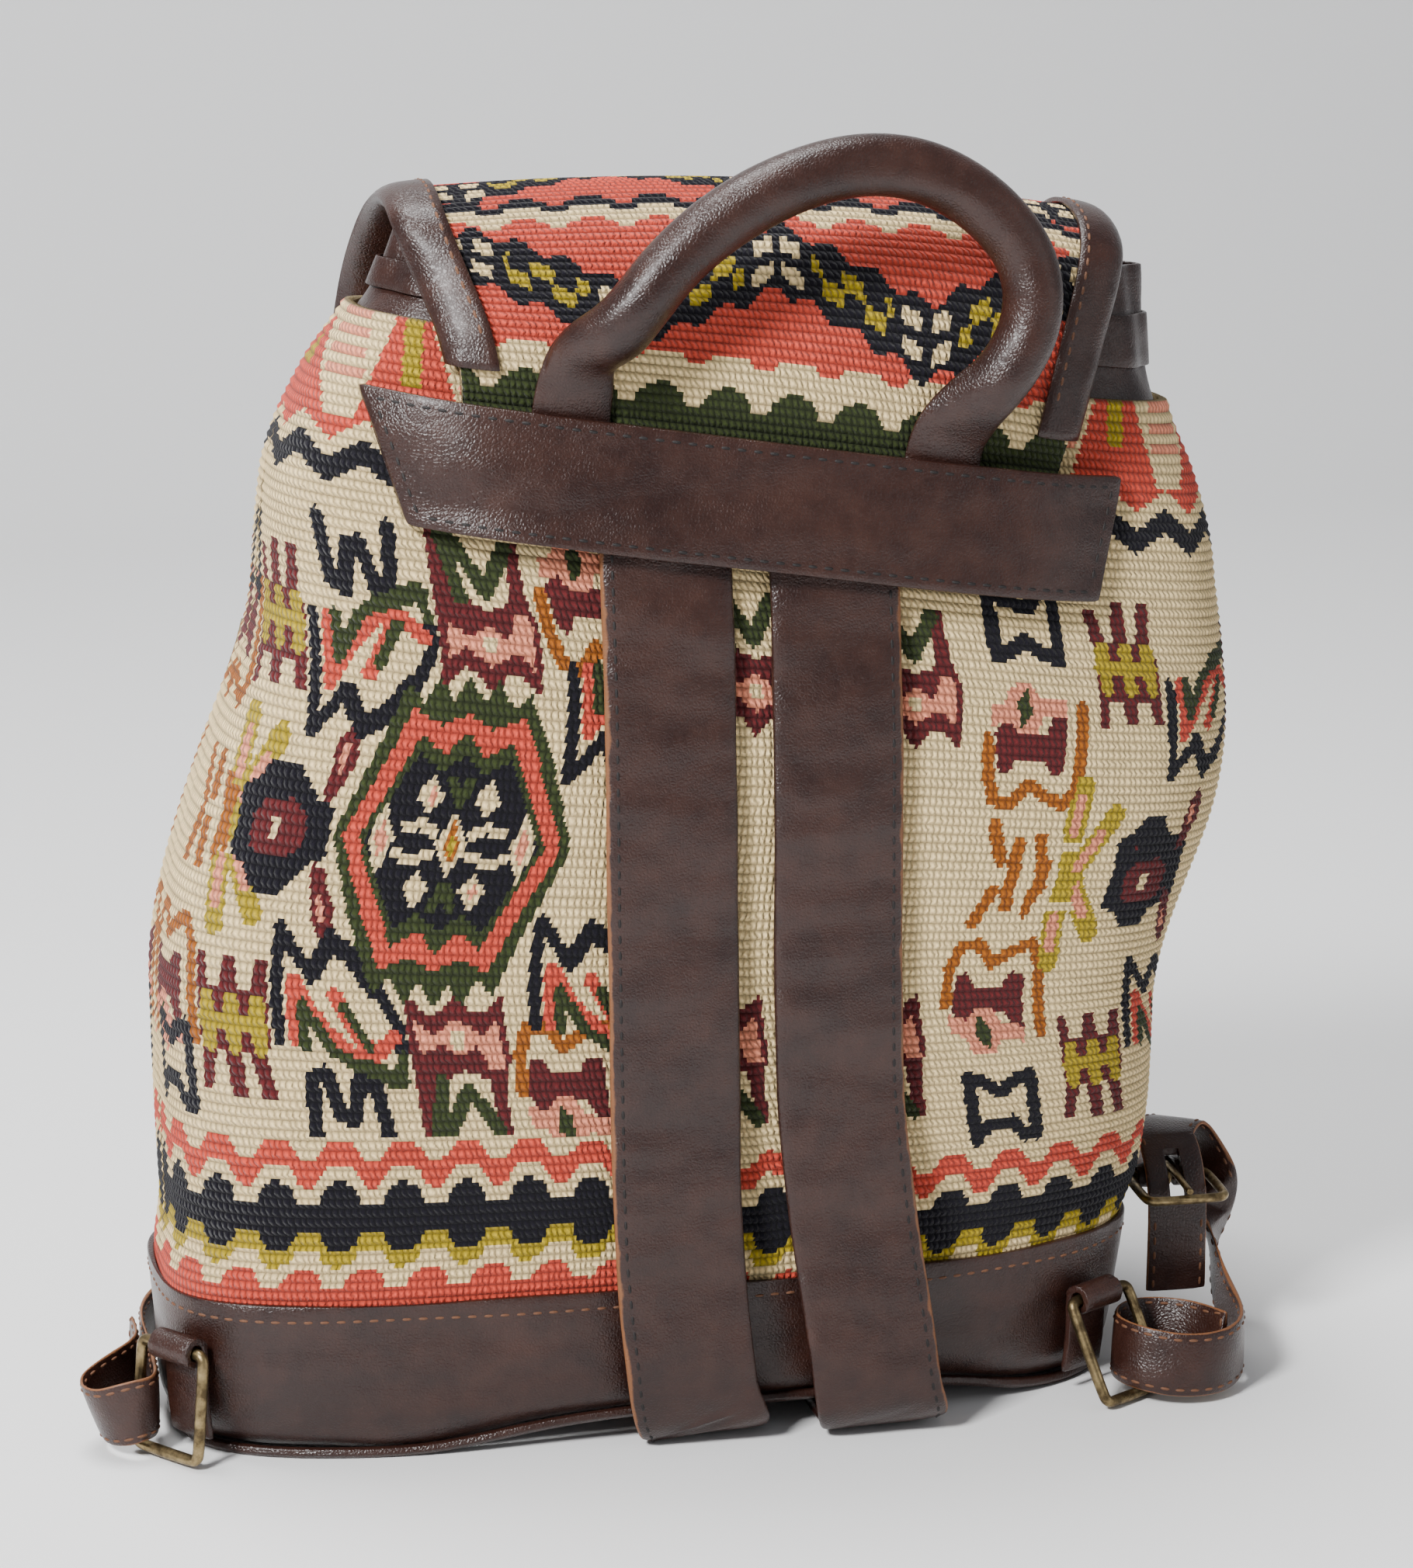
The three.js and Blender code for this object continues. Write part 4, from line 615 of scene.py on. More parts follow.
def leather_material(name, dye, rubbed, wear, coat=0.18):
    """Leather of one dye, rubbed lighter in patches."""
    if name in bpy.data.materials:
        return bpy.data.materials[name]
    colours = bpy.context.scene.backpack_colours
    material, w, shader = new_material(name)
    place = w.add("ShaderNodeTexCoord").outputs["Object"]
    edge = w.add("ShaderNodeAttribute", attribute_name="edge").outputs["Fac"]
    group = w.add("ShaderNodeGroup", node_tree=leather_group())
    values = {"Place": place, "Dye": linear(dye), "Rubbed": linear(rubbed), "Edge": edge, "Wear": wear,
              "Raw Edge": linear(colours.raw_edge)}
    for key, value in values.items():
        w.feed(group.inputs[key], value)
    relief = w.relief(group.outputs["Height"], 0.6, 0.0006)
    w.feed(shader["Base Color"], group.outputs["Colour"])
    w.feed(shader["Roughness"], group.outputs["Roughness"])
    w.feed(shader["Normal"], relief)
    shader["Coat Weight"].default_value = coat
    shader["Coat Roughness"].default_value = 0.32
    shader["Specular IOR Level"].default_value = 0.36
    return material


def dark_leather():
    """Leather of most pieces."""
    colours = bpy.context.scene.backpack_colours
    return leather_material("Dark Leather", colours.leather, colours.leather_rubbed, 0.6)


def thread_material(name, colour):
    """Waxed thread with its ply showing as fine slanted lines."""
    if name in bpy.data.materials:
        return bpy.data.materials[name]
    material, w, shader = new_material(name)
    place = w.add("ShaderNodeTexCoord").outputs["Object"]
    ply = w.noise(place, 1800.0, 3.0)
    dark = tuple(0.6 * c for c in colour)
    w.feed(shader["Base Color"], w.mix(ply, linear(dark), linear(colour)))
    relief = w.relief(ply, 0.5, 0.0003)
    w.feed(shader["Normal"], relief)
    shader["Roughness"].default_value = 0.7
    return material


def lining_material():
    """Plain dark cotton with a fine crossed weave, lighter on the raised crossings of its threads and darker
    in the gaps between them as painted light and shade, with random tone besides.
    """
    if "Cotton Lining" in bpy.data.materials:
        return bpy.data.materials["Cotton Lining"]
    colours = bpy.context.scene.backpack_colours
    material, w, shader = new_material("Cotton Lining")
    place = w.add("ShaderNodeTexCoord").outputs["Object"]
    parts = w.add("ShaderNodeSeparateXYZ", {0: place}).outputs
    warp = w.math("ABSOLUTE", w.math("SINE", w.times(parts["X"], 5200.0)))
    weft = w.math("ABSOLUTE", w.math("SINE", w.times(parts["Z"], 5200.0)))
    weave = w.times(warp, weft)
    # Painted light and shade: the lining is lighter where the crossed threads are raised and darker in the
    # gaps; the noise adds random tone.
    tone = w.plus(w.times(weave, 0.4), w.times(w.noise(place, 40.0), 0.6))
    light = tuple(1.7 * c for c in colours.lining)
    w.feed(shader["Base Color"], w.mix(tone, linear(colours.lining), linear(light)))
    relief = w.relief(weave, 0.3, 0.0003)
    w.feed(shader["Normal"], relief)
    shader["Roughness"].default_value = 0.9
    return material


def brass_material():
    """Antique brass wire, darkened in patches and rubbed bright elsewhere."""
    if "Antique Brass" in bpy.data.materials:
        return bpy.data.materials["Antique Brass"]
    colours = bpy.context.scene.backpack_colours
    material, w, shader = new_material("Antique Brass")
    place = w.add("ShaderNodeTexCoord").outputs["Object"]
    patches = w.noise(place, 170.0, 5.0, 0.65)
    scratches = w.noise(place, 1400.0, 2.0)
    worn = w.clamp(w.times(w.minus(patches, 0.38), 3.4), 1.0)
    w.feed(shader["Base Color"], w.mix(worn, linear(colours.brass_dark), linear(colours.brass)))
    polish = w.minus(0.34, w.times(worn, 0.12))
    w.feed(shader["Roughness"], w.plus(w.times(scratches, 0.25), polish))
    relief = w.relief(scratches, 0.15, 0.0002)
    w.feed(shader["Normal"], relief)
    shader["Metallic"].default_value = 1.0
    return material


def finish_piece(name, mesh, node, material):
    """Links a piece, gives it its material and lets it ride where its node rides."""
    mesh.validate()
    mesh.polygons.foreach_set("use_smooth", np.ones(len(mesh.polygons), bool))
    mesh.materials.clear()
    mesh.materials.append(material)
    piece = bpy.data.objects.new(name, mesh)
    bpy.context.scene.collection.objects.link(piece)
    body = frame["nodes"][node]["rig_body"]
    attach(piece, body)
    return piece


def grid_faces(rows, columns, start=0):
    """Quads of a grid of points."""
    a = (np.arange(rows - 1)[:, None] * columns + np.arange(columns - 1)[None, :]).ravel() + start
    return np.stack([a, a + 1, a + columns + 1, a + columns], 1)


def cloth_piece(name, node, outer, inner, cloth, dyes, flip=False):
    """Thin closed cloth from an outer and an inner grid of points, dyed face by face."""
    rows, columns = outer.shape[:2]
    count = rows * columns
    points = np.concatenate([outer.reshape(-1, 3), inner.reshape(-1, 3)])
    front = grid_faces(rows, columns)
    inner_rows, inner_columns = inner.shape[:2]
    back = grid_faces(inner_rows, inner_columns, count)[:, ::-1]
    faces = [tuple(f) for f in np.concatenate([front, back])]
    keep_rows = np.linspace(0, rows - 1, inner_rows).round().astype(int)
    keep_columns = np.linspace(0, columns - 1, inner_columns).round().astype(int)

    def rim(outer_line, inner_line, stops):
        """Closes the edge between the fine outer and the coarse inner grid."""
        for k in range(len(inner_line) - 1):
            stretch = list(outer_line[stops[k]:stops[k + 1] + 1])
            faces.append(tuple(stretch[::-1] + [inner_line[k], inner_line[k + 1]]))

    index = np.arange(count).reshape(rows, columns)
    under = np.arange(inner_rows * inner_columns).reshape(inner_rows, inner_columns) + count
    rim(index[0], under[0], keep_columns)
    rim(index[-1][::-1], under[-1][::-1], columns - 1 - keep_columns[::-1])
    rim(index[::-1, 0], under[::-1, 0], rows - 1 - keep_rows[::-1])
    rim(index[:, -1], under[:, -1], keep_rows)
    if flip:
        faces = [f[::-1] for f in faces]
    mesh = bpy.data.meshes.new(name)
    mesh.from_pydata(to_scene(points).tolist(), [], faces)
    place = np.zeros((len(points), 3))
    place[:count, :2] = cloth.reshape(-1, 2) * MM
    attribute = mesh.attributes.new("cloth", "FLOAT_VECTOR", "POINT")
    attribute.data.foreach_set("vector", place.ravel())
    colours = bpy.context.scene.backpack_colours
    palette = np.array([linear(getattr(colours, dye)) for dye in DYES])
    face_colours = np.tile(palette[CREAM] * 0.8, (len(faces), 1))
    face_colours[:len(front)] = palette[dyes.ravel()]
    corners = np.array([len(f) for f in faces])
    layer = mesh.color_attributes.new("dye", "FLOAT_COLOR", "CORNER")
    layer.data.foreach_set("color", np.repeat(face_colours, corners, 0).ravel())
    piece = finish_piece(name, mesh, node, kilim_material())
    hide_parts(node)
    return piece


def soft_swell(u, z):
    """Broad, shallow swells of soft cloth."""
    swell = np.sin(u / 31 + 0.7) * np.sin(z / 43 + 1.1) + 0.6 * np.sin(u / 17 + z / 29)
    return 0.45 * swell


def row_ridge(count):
    """Alternating depth of the rows: raised on the row, sunk between two rows."""
    return np.where(np.arange(count) % 2 == 1, 0.0, -0.62)


def build_body_half(name, start, end, sizes):
    """One half of the woven tube, from its left seam to its right or back again."""
    pitch = sizes.row_pitch / MM
    rows = 2 * int(round((KILIM_TOP - BASE_HEIGHT + SEAM_LAP) / pitch)) + 1
    heights = np.linspace(BASE_HEIGHT - SEAM_LAP, KILIM_TOP, rows)
    angles = even_angles(start, end, 370)
    z, angle = np.meshgrid(heights, angles, indexing="ij")
    flat = outline(angle, z, 0)
    steps = np.linalg.norm(np.diff(flat, axis=1), axis=2)
    u = np.concatenate([np.zeros((rows, 1)), np.cumsum(steps, 1)], 1)
    middle = np.argmin(np.abs(flat[rows // 2, :, 0]))
    u = u - u[:, middle:middle + 1]
    foot = ramp(z, BASE_HEIGHT - 2, BASE_HEIGHT + 8)
    out = (row_ridge(rows)[:, None] + soft_swell(u, z)) * foot - 0.8 * (1 - foot)
    outer = settle(outline(angle, z, out))
    coarse_heights = np.linspace(heights[0], heights[-1], 26)
    coarse_z, coarse_angle = np.meshgrid(coarse_heights, even_angles(start, end, 47), indexing="ij")
    inner = settle(outline(coarse_angle, coarse_z, -KILIM_WALL + 0.2))
    face_u = 0.25 * (u[:-1, :-1] + u[1:, :-1] + u[:-1, 1:] + u[1:, 1:])
    face_x = 0.5 * (flat[:-1, :-1, 0] + flat[1:, 1:, 0])
    face_z = np.repeat(0.5 * (heights[1:] + heights[:-1])[:, None], face_u.shape[1], 1)
    side = 1 if start < 0 else -1
    dyes = body_dyes(side * face_u, face_z, face_x)
    return cloth_piece(name, "kilim_body", outer, inner, np.stack([u, z - heights[0]], -1), dyes)


def spline_points(points, step):
    """Evenly spaced points on a smooth curve through control points."""
    p = np.array(points, float)
    p = np.vstack([2 * p[0] - p[1], p, 2 * p[-1] - p[-2]])
    fine = []
    for a, b, c, d in zip(p, p[1:], p[2:], p[3:]):
        t = np.linspace(0, 1, 24, endpoint=False)[:, None]
        square, cube = 2 * a - 5 * b + 4 * c - d, 3 * b - a - 3 * c + d
        fine.append(0.5 * (2 * b + (c - a) * t + square * t**2 + cube * t**3))
    fine = np.vstack([*fine, p[-2:-1]])
    length = np.concatenate([[0], np.cumsum(np.linalg.norm(np.diff(fine, axis=0), axis=1))])
    count = max(2, int(round(length[-1] / step)) + 1)
    spaced = np.linspace(0, length[-1], count)
    return np.stack([np.interp(spaced, length, fine[:, k]) for k in range(fine.shape[1])], 1), spaced


def flap_path():
    """The flap's line from under the yoke over the mouth and down the front, as (y, z)."""
    tuck = YOKE_TOP - 10
    mouth = KILIM_TOP + COLLAR_RISE
    depth = BODY_HALF_DEPTH
    return [
        (-depth * profile_at(tuck, 2) - FLAP_BED, tuck),
        (-depth * profile_at(YOKE_TOP, 2) - FLAP_BED - 0.4, YOKE_TOP),
        (-depth * profile_at(YOKE_TOP, 2) - FLAP_BED - 2.5, YOKE_TOP + 17),
        (-0.74 * depth, mouth - 18), (-0.55 * depth, mouth + 4), (-0.28 * depth, mouth + 16),
        (0, mouth + 20), (0.28 * depth, mouth + 17), (0.55 * depth, mouth + 6),
        (0.8 * depth, mouth - 16), (0.98 * depth, KILIM_TOP - 8), (1.1 * depth, 0.88 * KILIM_TOP),
        (1.17 * depth, 0.8 * KILIM_TOP), (1.19 * depth, 0.735 * KILIM_TOP),
    ]


def flap_half(share):
    """Half width of the flap along its length."""
    widen = (FLAP_HALVES[1] - FLAP_HALVES[0]) * ramp(share, 0.02, 0.34)
    return (FLAP_HALVES[0] + widen) * (1 - 0.06 * ramp(share, 0.75, 1))


def pocket_flap_path():
    """The pocket flap's line from the wall over the pocket and down, as (y, z)."""
    top = POCKET_HIGH + 5
    wall = float(face_depth(0.0, top + 10.0))
    return [
        (wall + 4, top + 12), (wall + 5, top + 6), (wall + 13, top + 3.5), (POCKET_FACE - 6, top + 2.5),
        (POCKET_FACE + 8, top - 3), (POCKET_FACE + POCKET_BULGE + 10, top - 20),
        (POCKET_FACE + POCKET_BULGE + 11, top - POCKET_FLAP_DROP),
    ]


def sheet_points(path, half_at, crown, centre, wrap, rows, columns, lift):
    """Grid of points on a hanging sheet, lifted outward by a distance per row."""
    fine, length = spline_points(path, 1.0)
    along = np.linspace(0, length[-1], rows)
    y = np.interp(along, length, fine[:, 0])
    z = np.interp(along, length, fine[:, 1])
    dy, dz = np.gradient(y), np.gradient(z)
    norm = np.hypot(dy, dz)
    normal_y, normal_z = -dz / norm, dy / norm
    share = along / along[-1]
    across = np.linspace(-1, 1, columns)
    half = half_at(share)
    x = centre + across[None, :] * half[:, None]
    droop = crown * across[None, :] ** 2 * np.sin(math.pi * np.clip(share * 1.6, 0, 1))[:, None]
    level = np.minimum(z, KILIM_TOP)[:, None] + 0 * x
    follow = (1 - ramp(share, wrap / 2, wrap))[:, None]
    bend = np.sign(y)[:, None] * follow * (face_depth(np.full_like(x, centre), level) - face_depth(x, level))
    points = np.stack([x, y[:, None] - bend, z[:, None] - droop], -1)
    points[..., 1] += (normal_y * lift)[:, None]
    points[..., 2] += (normal_z * lift)[:, None]
    return points, x - centre, along


def build_sheet(name, node, path, half_at, crown, centre, wrap, dye_at, columns, sizes):
    """A lapping sheet of kilim with its rows across it."""
    length = spline_points(path, 1.0)[1][-1]
    pitch = sizes.row_pitch / MM
    rows = 2 * int(round(length / pitch)) + 1
    side = 1 if normal_points_out(path) else -1
    lift = side * (FLAP_THICKNESS / 2 + row_ridge(rows))
    outer, across, along = sheet_points(path, half_at, crown, centre, wrap, rows, columns, lift)
    under = np.full(24, -side * FLAP_THICKNESS / 2)
    inner = sheet_points(path, half_at, crown, centre, wrap, len(under), 19, under)[0]
    face_row = 0.5 * (along[1:] + along[:-1])
    face_across = 0.25 * (across[:-1, :-1] + across[1:, :-1] + across[:-1, 1:] + across[1:, 1:])
    dyes = dye_at(face_across, np.repeat(face_row[:, None], columns - 1, 1))
    cloth = np.stack([across, np.repeat(along[:, None], columns, 1)], -1)
    return cloth_piece(name, node, settle(outer), settle(inner), cloth, dyes)


def normal_points_out(path):
    """Whether the path's normal points away from the bag at its middle."""
    (ay, az), (by, bz) = path[len(path) // 2 - 1], path[len(path) // 2]
    return (by - ay) > 0 or (bz < az and ay > 0)


def build_pocket_panel(sizes):
    """Front of the pocket: a bulging panel with two round lower corners."""
    pitch = sizes.row_pitch / MM
    rows = 2 * int(round((POCKET_HIGH - POCKET_LOW) / pitch)) + 1
    columns = 241

    def points(row_count, column_count, lift):
        """Grid of points on the panel, lifted from it by a distance."""
        z = np.linspace(POCKET_LOW, POCKET_HIGH, row_count)
        below = np.clip(POCKET_LOW + POCKET_CORNER - z, 0, POCKET_CORNER)
        half = POCKET_HALF_WIDTH - POCKET_CORNER + np.sqrt(POCKET_CORNER**2 - below**2)
        share = np.linspace(-1, 1, column_count)
        x = half[:, None] * share[None, :]
        middle = (POCKET_LOW + POCKET_HIGH) / 2
        up = ((z - middle) / (POCKET_HIGH - middle))[:, None]
        rise = POCKET_BULGE * (1 - np.maximum(np.abs(x) / POCKET_HALF_WIDTH, np.abs(up)) ** 2)
        y = POCKET_FACE + 0.35 + rise + lift
        return np.stack(np.broadcast_arrays(x, y, z[:, None]), -1), x, z

    lift = KILIM_WALL + row_ridge(rows)
    outer, x, z = points(rows, columns, lift[:, None])
    inner = points(20, 21, 0.0)[0]
    row_z = 0.5 * (z[1:] + z[:-1])
    face_x = 0.25 * (x[:-1, :-1] + x[1:, :-1] + x[:-1, 1:] + x[1:, 1:])
    face_z = np.repeat(row_z[:, None], columns - 1, 1)
    dyes = body_dyes(-face_x, face_z, face_x)
    cloth = np.stack([x, np.repeat(z[:, None], columns, 1)], -1)
    return cloth_piece("pocket_front", "pocket_panel", settle(outer), settle(inner), cloth, dyes, flip=True)


def dressed(node, material, levels=2, crease_angle=55, swell=0.0, edge_width=0.0, rolled=()):
    """Smooth piece over a faceted solid: joined into quads, creased, subdivided and swollen."""
    source = frame["nodes"][node]
    bm = bmesh.new()
    bm.from_mesh(source.data)
    bmesh.ops.remove_doubles(bm, verts=bm.verts, dist=WELD)
    bmesh.ops.dissolve_degenerate(bm, edges=bm.edges, dist=1e-6)
    bmesh.ops.join_triangles(bm, faces=bm.faces, angle_face_threshold=JOIN_FLAT,
                             angle_shape_threshold=JOIN_SHAPE)
    bmesh.ops.recalc_face_normals(bm, faces=bm.faces)
    creases = bm.edges.layers.float.new("crease_edge")
    for edge in bm.edges:
        if len(edge.link_faces) == 2 and edge.calc_face_angle(0) > math.radians(crease_angle):
            edge[creases] = EDGE_CREASE
    edge_layer = bm.verts.layers.float.new("edge")
    mark_narrow_faces(bm, edge_layer, edge_width)
    clear_rolled_side(bm, edge_layer, rolled)
    mesh = bpy.data.meshes.new(node + "_look")
    bm.to_mesh(mesh)
    bm.free()
    piece = finish_piece(node + "_look", mesh, node, material)
    modifier = piece.modifiers.new("Round", "SUBSURF")
    modifier.levels = levels
    modifier.render_levels = levels
    apply_modifiers(piece)
    if swell:
        push_out(piece.data, swell)
    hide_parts(node)
    return piece


def mark_narrow_faces(bm, layer, width):
    """Marks the cut edge of a strap: its long faces that are narrower than a width."""
    for face in bm.faces:
        if len(face.verts) != 4:
            continue
        lengths = sorted(edge.calc_length() for edge in face.edges)
        if lengths[1] < width and lengths[3] > 1.8 * width:
            for vert in face.verts:
                vert[layer] = 1.0


def clear_rolled_side(bm, layer, rolled):
    """Takes the raw edge away beside the lines along which a strap is folded over."""
    places = [p for line in rolled for p, _ in line]
    if not places:
        return
    tree = KDTree(len(places))
    for k, place in enumerate(places):
        tree.insert(place, k)
    tree.balance()
    for vert in bm.verts:
        if tree.find(vert.co)[2] < ROLLED_REACH:
            vert[layer] = 0.0


def back_lean(line):
    """Which way a line along a strap has the strap's middle on the bag's back: left or right."""
    return sum(way.x for p, way in line if p.y < -0.06 and p.z > 0.08)


def apply_modifiers(piece):
    """Turns the modified shape into the mesh of the piece."""
    graph = bpy.context.evaluated_depsgraph_get()
    evaluated = piece.evaluated_get(graph)
    mesh = bpy.data.meshes.new_from_object(evaluated)
    old = piece.data
    piece.modifiers.clear()
    piece.data = mesh
    mesh.polygons.foreach_set("use_smooth", np.ones(len(mesh.polygons), bool))
    bpy.data.meshes.remove(old)


def push_out(mesh, distance):
    """Soft uneven swelling along the normals."""
    count = len(mesh.vertices)
    points = np.zeros(count * 3)
    mesh.vertices.foreach_get("co", points)
    points = points.reshape(-1, 3)
    normals = np.zeros(count * 3)
    mesh.vertices.foreach_get("normal", normals)
    normals = normals.reshape(-1, 3)
    x, y, z = points.T / MM
    wave = np.sin(x / 19 + 0.8 * np.sin(z / 21)) * np.sin(z / 12 + y / 17)
    wave += 0.5 * np.sin((x + z) / 11 + y / 9)
    mesh.vertices.foreach_set("co", (points + normals * (distance * wave)[:, None]).ravel())
    mesh.update()


def surface_tree(piece):
    """Search tree over the surface of a piece."""
    points = [v.co.copy() for v in piece.data.vertices]
    return BVHTree.FromPolygons(points, [tuple(p.vertices) for p in piece.data.polygons])


def stitch_row(bm, tree, path, sizes):
    """Sunken thread stitches along a path in metres, laid on the nearest surface."""
    steps = np.linalg.norm(np.diff(path, axis=0), axis=1)
    along = np.concatenate([[0], np.cumsum(steps)])
    pitch, length = sizes.stitch_pitch, sizes.stitch_length
    count = int(along[-1] / pitch)
    for k in range(count):
        centre = (k + 0.5) * pitch
        ends = []
        for at in (centre - length / 2, centre, centre + length / 2):
            ends.append(Vector([np.interp(at, along, path[:, i]) for i in range(3)]))
        hit, normal, _, distance = tree.find_nearest(ends[1])
        if hit is None or distance > 0.006:
            continue
        direction = (ends[2] - ends[0])
        direction -= normal * direction.dot(normal)
        if direction.length < 1e-6:
            continue
        direction.normalize()
        add_stitch(bm, hit, direction, normal, length, sizes.thread_radius)


def add_stitch(bm, centre, direction, normal, length, radius):
    """One stitch: a short bowed strand with round ends."""
    side = direction.cross(normal)
    rings = []
    for share in (-1.0, -0.85, -0.45, 0.0, 0.45, 0.85, 1.0):
        width = radius * math.sqrt(max(0.03, 1 - abs(share) ** 4))
        sink = radius * 1.1 * share * share
        middle = centre + direction * (0.5 * length * share) - normal * sink
        ring = []
        for k in range(6):
            angle = math.pi * k / 3
            offset = side * (width * math.cos(angle)) + normal * (width * 0.8 * math.sin(angle))
            ring.append(bm.verts.new(middle + offset))
        rings.append(ring)
    for a, b in zip(rings, rings[1:]):
        for k in range(6):
            m = (k + 1) % 6
            bm.faces.new((a[k], a[m], b[m], b[k]))
    bm.faces.new(rings[0][::-1])
    bm.faces.new(rings[-1])


def finish_stitches(name, bm, node, material):
    """Makes one piece of all stitches of a seam."""
    bmesh.ops.recalc_face_normals(bm, faces=bm.faces)
    mesh = bpy.data.meshes.new(name)
    bm.to_mesh(mesh)
    bm.free()
    if not mesh.polygons:
        raise RuntimeError(f"{name} has no stitches")
    return finish_piece(name, mesh, node, material)


def strap_lines(node, low, high):
    """Lines along a strap between its flat faces and its rounded borders, with the way inward."""
    bm = bmesh.new()
    bm.from_mesh(frame["nodes"][node].data)
    bmesh.ops.remove_doubles(bm, verts=bm.verts, dist=WELD)
    bmesh.ops.join_triangles(bm, faces=bm.faces, angle_face_threshold=JOIN_FLAT,
                             angle_shape_threshold=JOIN_SHAPE)
    segments = []
    for edge in bm.edges:
        if len(edge.link_faces) != 2 or edge.calc_length() < SHORTEST_SEAM_EDGE:
            continue
        start, end = edge.verts[0].co, edge.verts[1].co
        direction = (end - start).normalized()
        widths = []
        for face in edge.link_faces:
            offsets = [v.co - start for v in face.verts]
            widths.append((max((o - direction * o.dot(direction)).length for o in offsets), face))
        widths.sort(key=lambda pair: pair[0])
        if low < widths[0][0] < high and widths[1][0] > 4 * high:
            inward = widths[1][1].calc_center_median() - (start + end) / 2
            inward -= direction * inward.dot(direction)
            segments.append((start.copy(), end.copy(), inward.normalized()))
    bm.free()
    return segments


def spot(point):
    """Rounded place by which two ends of segments are told to be the same."""
    return tuple(round(value, 5) for value in point)


def chain(segments):
    """Joins short segments into long lines of points, and leaves out the shortest lines."""
    ends = {}
    for k, (a, b, _) in enumerate(segments):
        ends.setdefault(spot(a), []).append(k)
        ends.setdefault(spot(b), []).append(k)
    used = set()
    lines = []
    for first in range(len(segments)):
        if first in used:
            continue
        used.add(first)
        a, b, inward = segments[first]
        line = [(a, inward), (b, inward)]
        for at_end in (True, False):
            while True:
                tip = line[-1][0] if at_end else line[0][0]
                following = [k for k in ends[spot(tip)] if k not in used]
                if not following:
                    break
                used.add(following[0])
                p, q, way = segments[following[0]]
                other = q if spot(p) == spot(tip) else p
                if at_end:
                    line.append((other, way))
                else:
                    line.insert(0, (other, way))
        lines.append(line)
    return [line for line in lines if len(line) > 4]


class BackpackSizes(bpy.types.PropertyGroup):
    row_pitch: bpy.props.FloatProperty(
        name="Row Pitch", description="Height of one woven row", default=0.003, unit="LENGTH")
    strand_width: bpy.props.FloatProperty(
        name="Strand Width", description="Width of one strand across a row", default=0.0021, unit="LENGTH")
    stitch_pitch: bpy.props.FloatProperty(
        name="Stitch Pitch", description="Distance between two stitches", default=0.0052, unit="LENGTH")
    stitch_length: bpy.props.FloatProperty(
        name="Stitch Length", description="Length of one stitch", default=0.0040, unit="LENGTH")
    thread_radius: bpy.props.FloatProperty(
        name="Thread Radius", description="Radius of the sewing thread", default=0.00052, unit="LENGTH")
    strap_margin: bpy.props.FloatProperty(
        name="Strap Margin", description="Seam's distance from the rolled border of a strap", default=0.0012,
        unit="LENGTH")
    yoke_margin: bpy.props.FloatProperty(
        name="Yoke Margin", description="Seam's distance from the edge of the yoke", default=0.0032,
        unit="LENGTH")


def colour_property(name, description, default):
    """Colour of one material, as shown in the panel."""
    return bpy.props.FloatVectorProperty(
        name=name, description=description, default=default, size=3, min=0, max=1, subtype="COLOR_GAMMA")


class BackpackColours(bpy.types.PropertyGroup):
    cream: colour_property("Cream", "Ground of the cloth", (0.95, 0.835, 0.61))
    coral: colour_property("Coral", "Coral wool", (0.81, 0.285, 0.215))
    navy: colour_property("Navy", "Navy wool", (0.055, 0.045, 0.085))
    olive: colour_property("Olive", "Mustard green wool", (0.68, 0.585, 0.10))
    green: colour_property("Green", "Dark green wool", (0.19, 0.225, 0.10))
    ochre: colour_property("Ochre", "Ochre brown wool", (0.62, 0.34, 0.07))
    maroon: colour_property("Maroon", "Maroon wool", (0.36, 0.11, 0.12))
    pink: colour_property("Pink", "Pink wool", (0.92, 0.565, 0.44))
    leather: colour_property("Leather", "Dark brown leather", (0.14, 0.062, 0.045))
    leather_rubbed: colour_property("Rubbed Leather", "Lighter rubbed leather", (0.25, 0.145, 0.11))
    raw_edge: colour_property("Raw Edge", "Cut edge of the leather", (0.46, 0.29, 0.17))
    piping: colour_property("Piping", "Edge piping of the base", (0.17, 0.095, 0.075))
    thread_dark: colour_property("Dark Thread", "Thread of the straps and yoke", (0.07, 0.035, 0.03))
    thread_tan: colour_property("Tan Thread", "Thread of the base and binding", (0.46, 0.29, 0.18))
    lining: colour_property("Lining", "Dark cotton lining", (0.17, 0.14, 0.13))
    brass: colour_property("Brass", "Rubbed antique brass", (0.66, 0.58, 0.42))
    brass_dark: colour_property("Dark Brass", "Darkened antique brass", (0.33, 0.28, 0.20))
    floor: colour_property("Floor", "Pale floor and backdrop", (0.90, 0.90, 0.90))


class BACKPACK_OT_body(bpy.types.Operator):
    """Weave the back and the front of the body"""

    bl_idname = "backpack.body"
    bl_label = "Woven Body"

    def execute(self, context):
        sizes = context.scene.backpack_sizes
        build_body_half("kilim_back", -math.pi, 0, sizes)
        build_body_half("kilim_front", 0, math.pi, sizes)
        return {"FINISHED"}


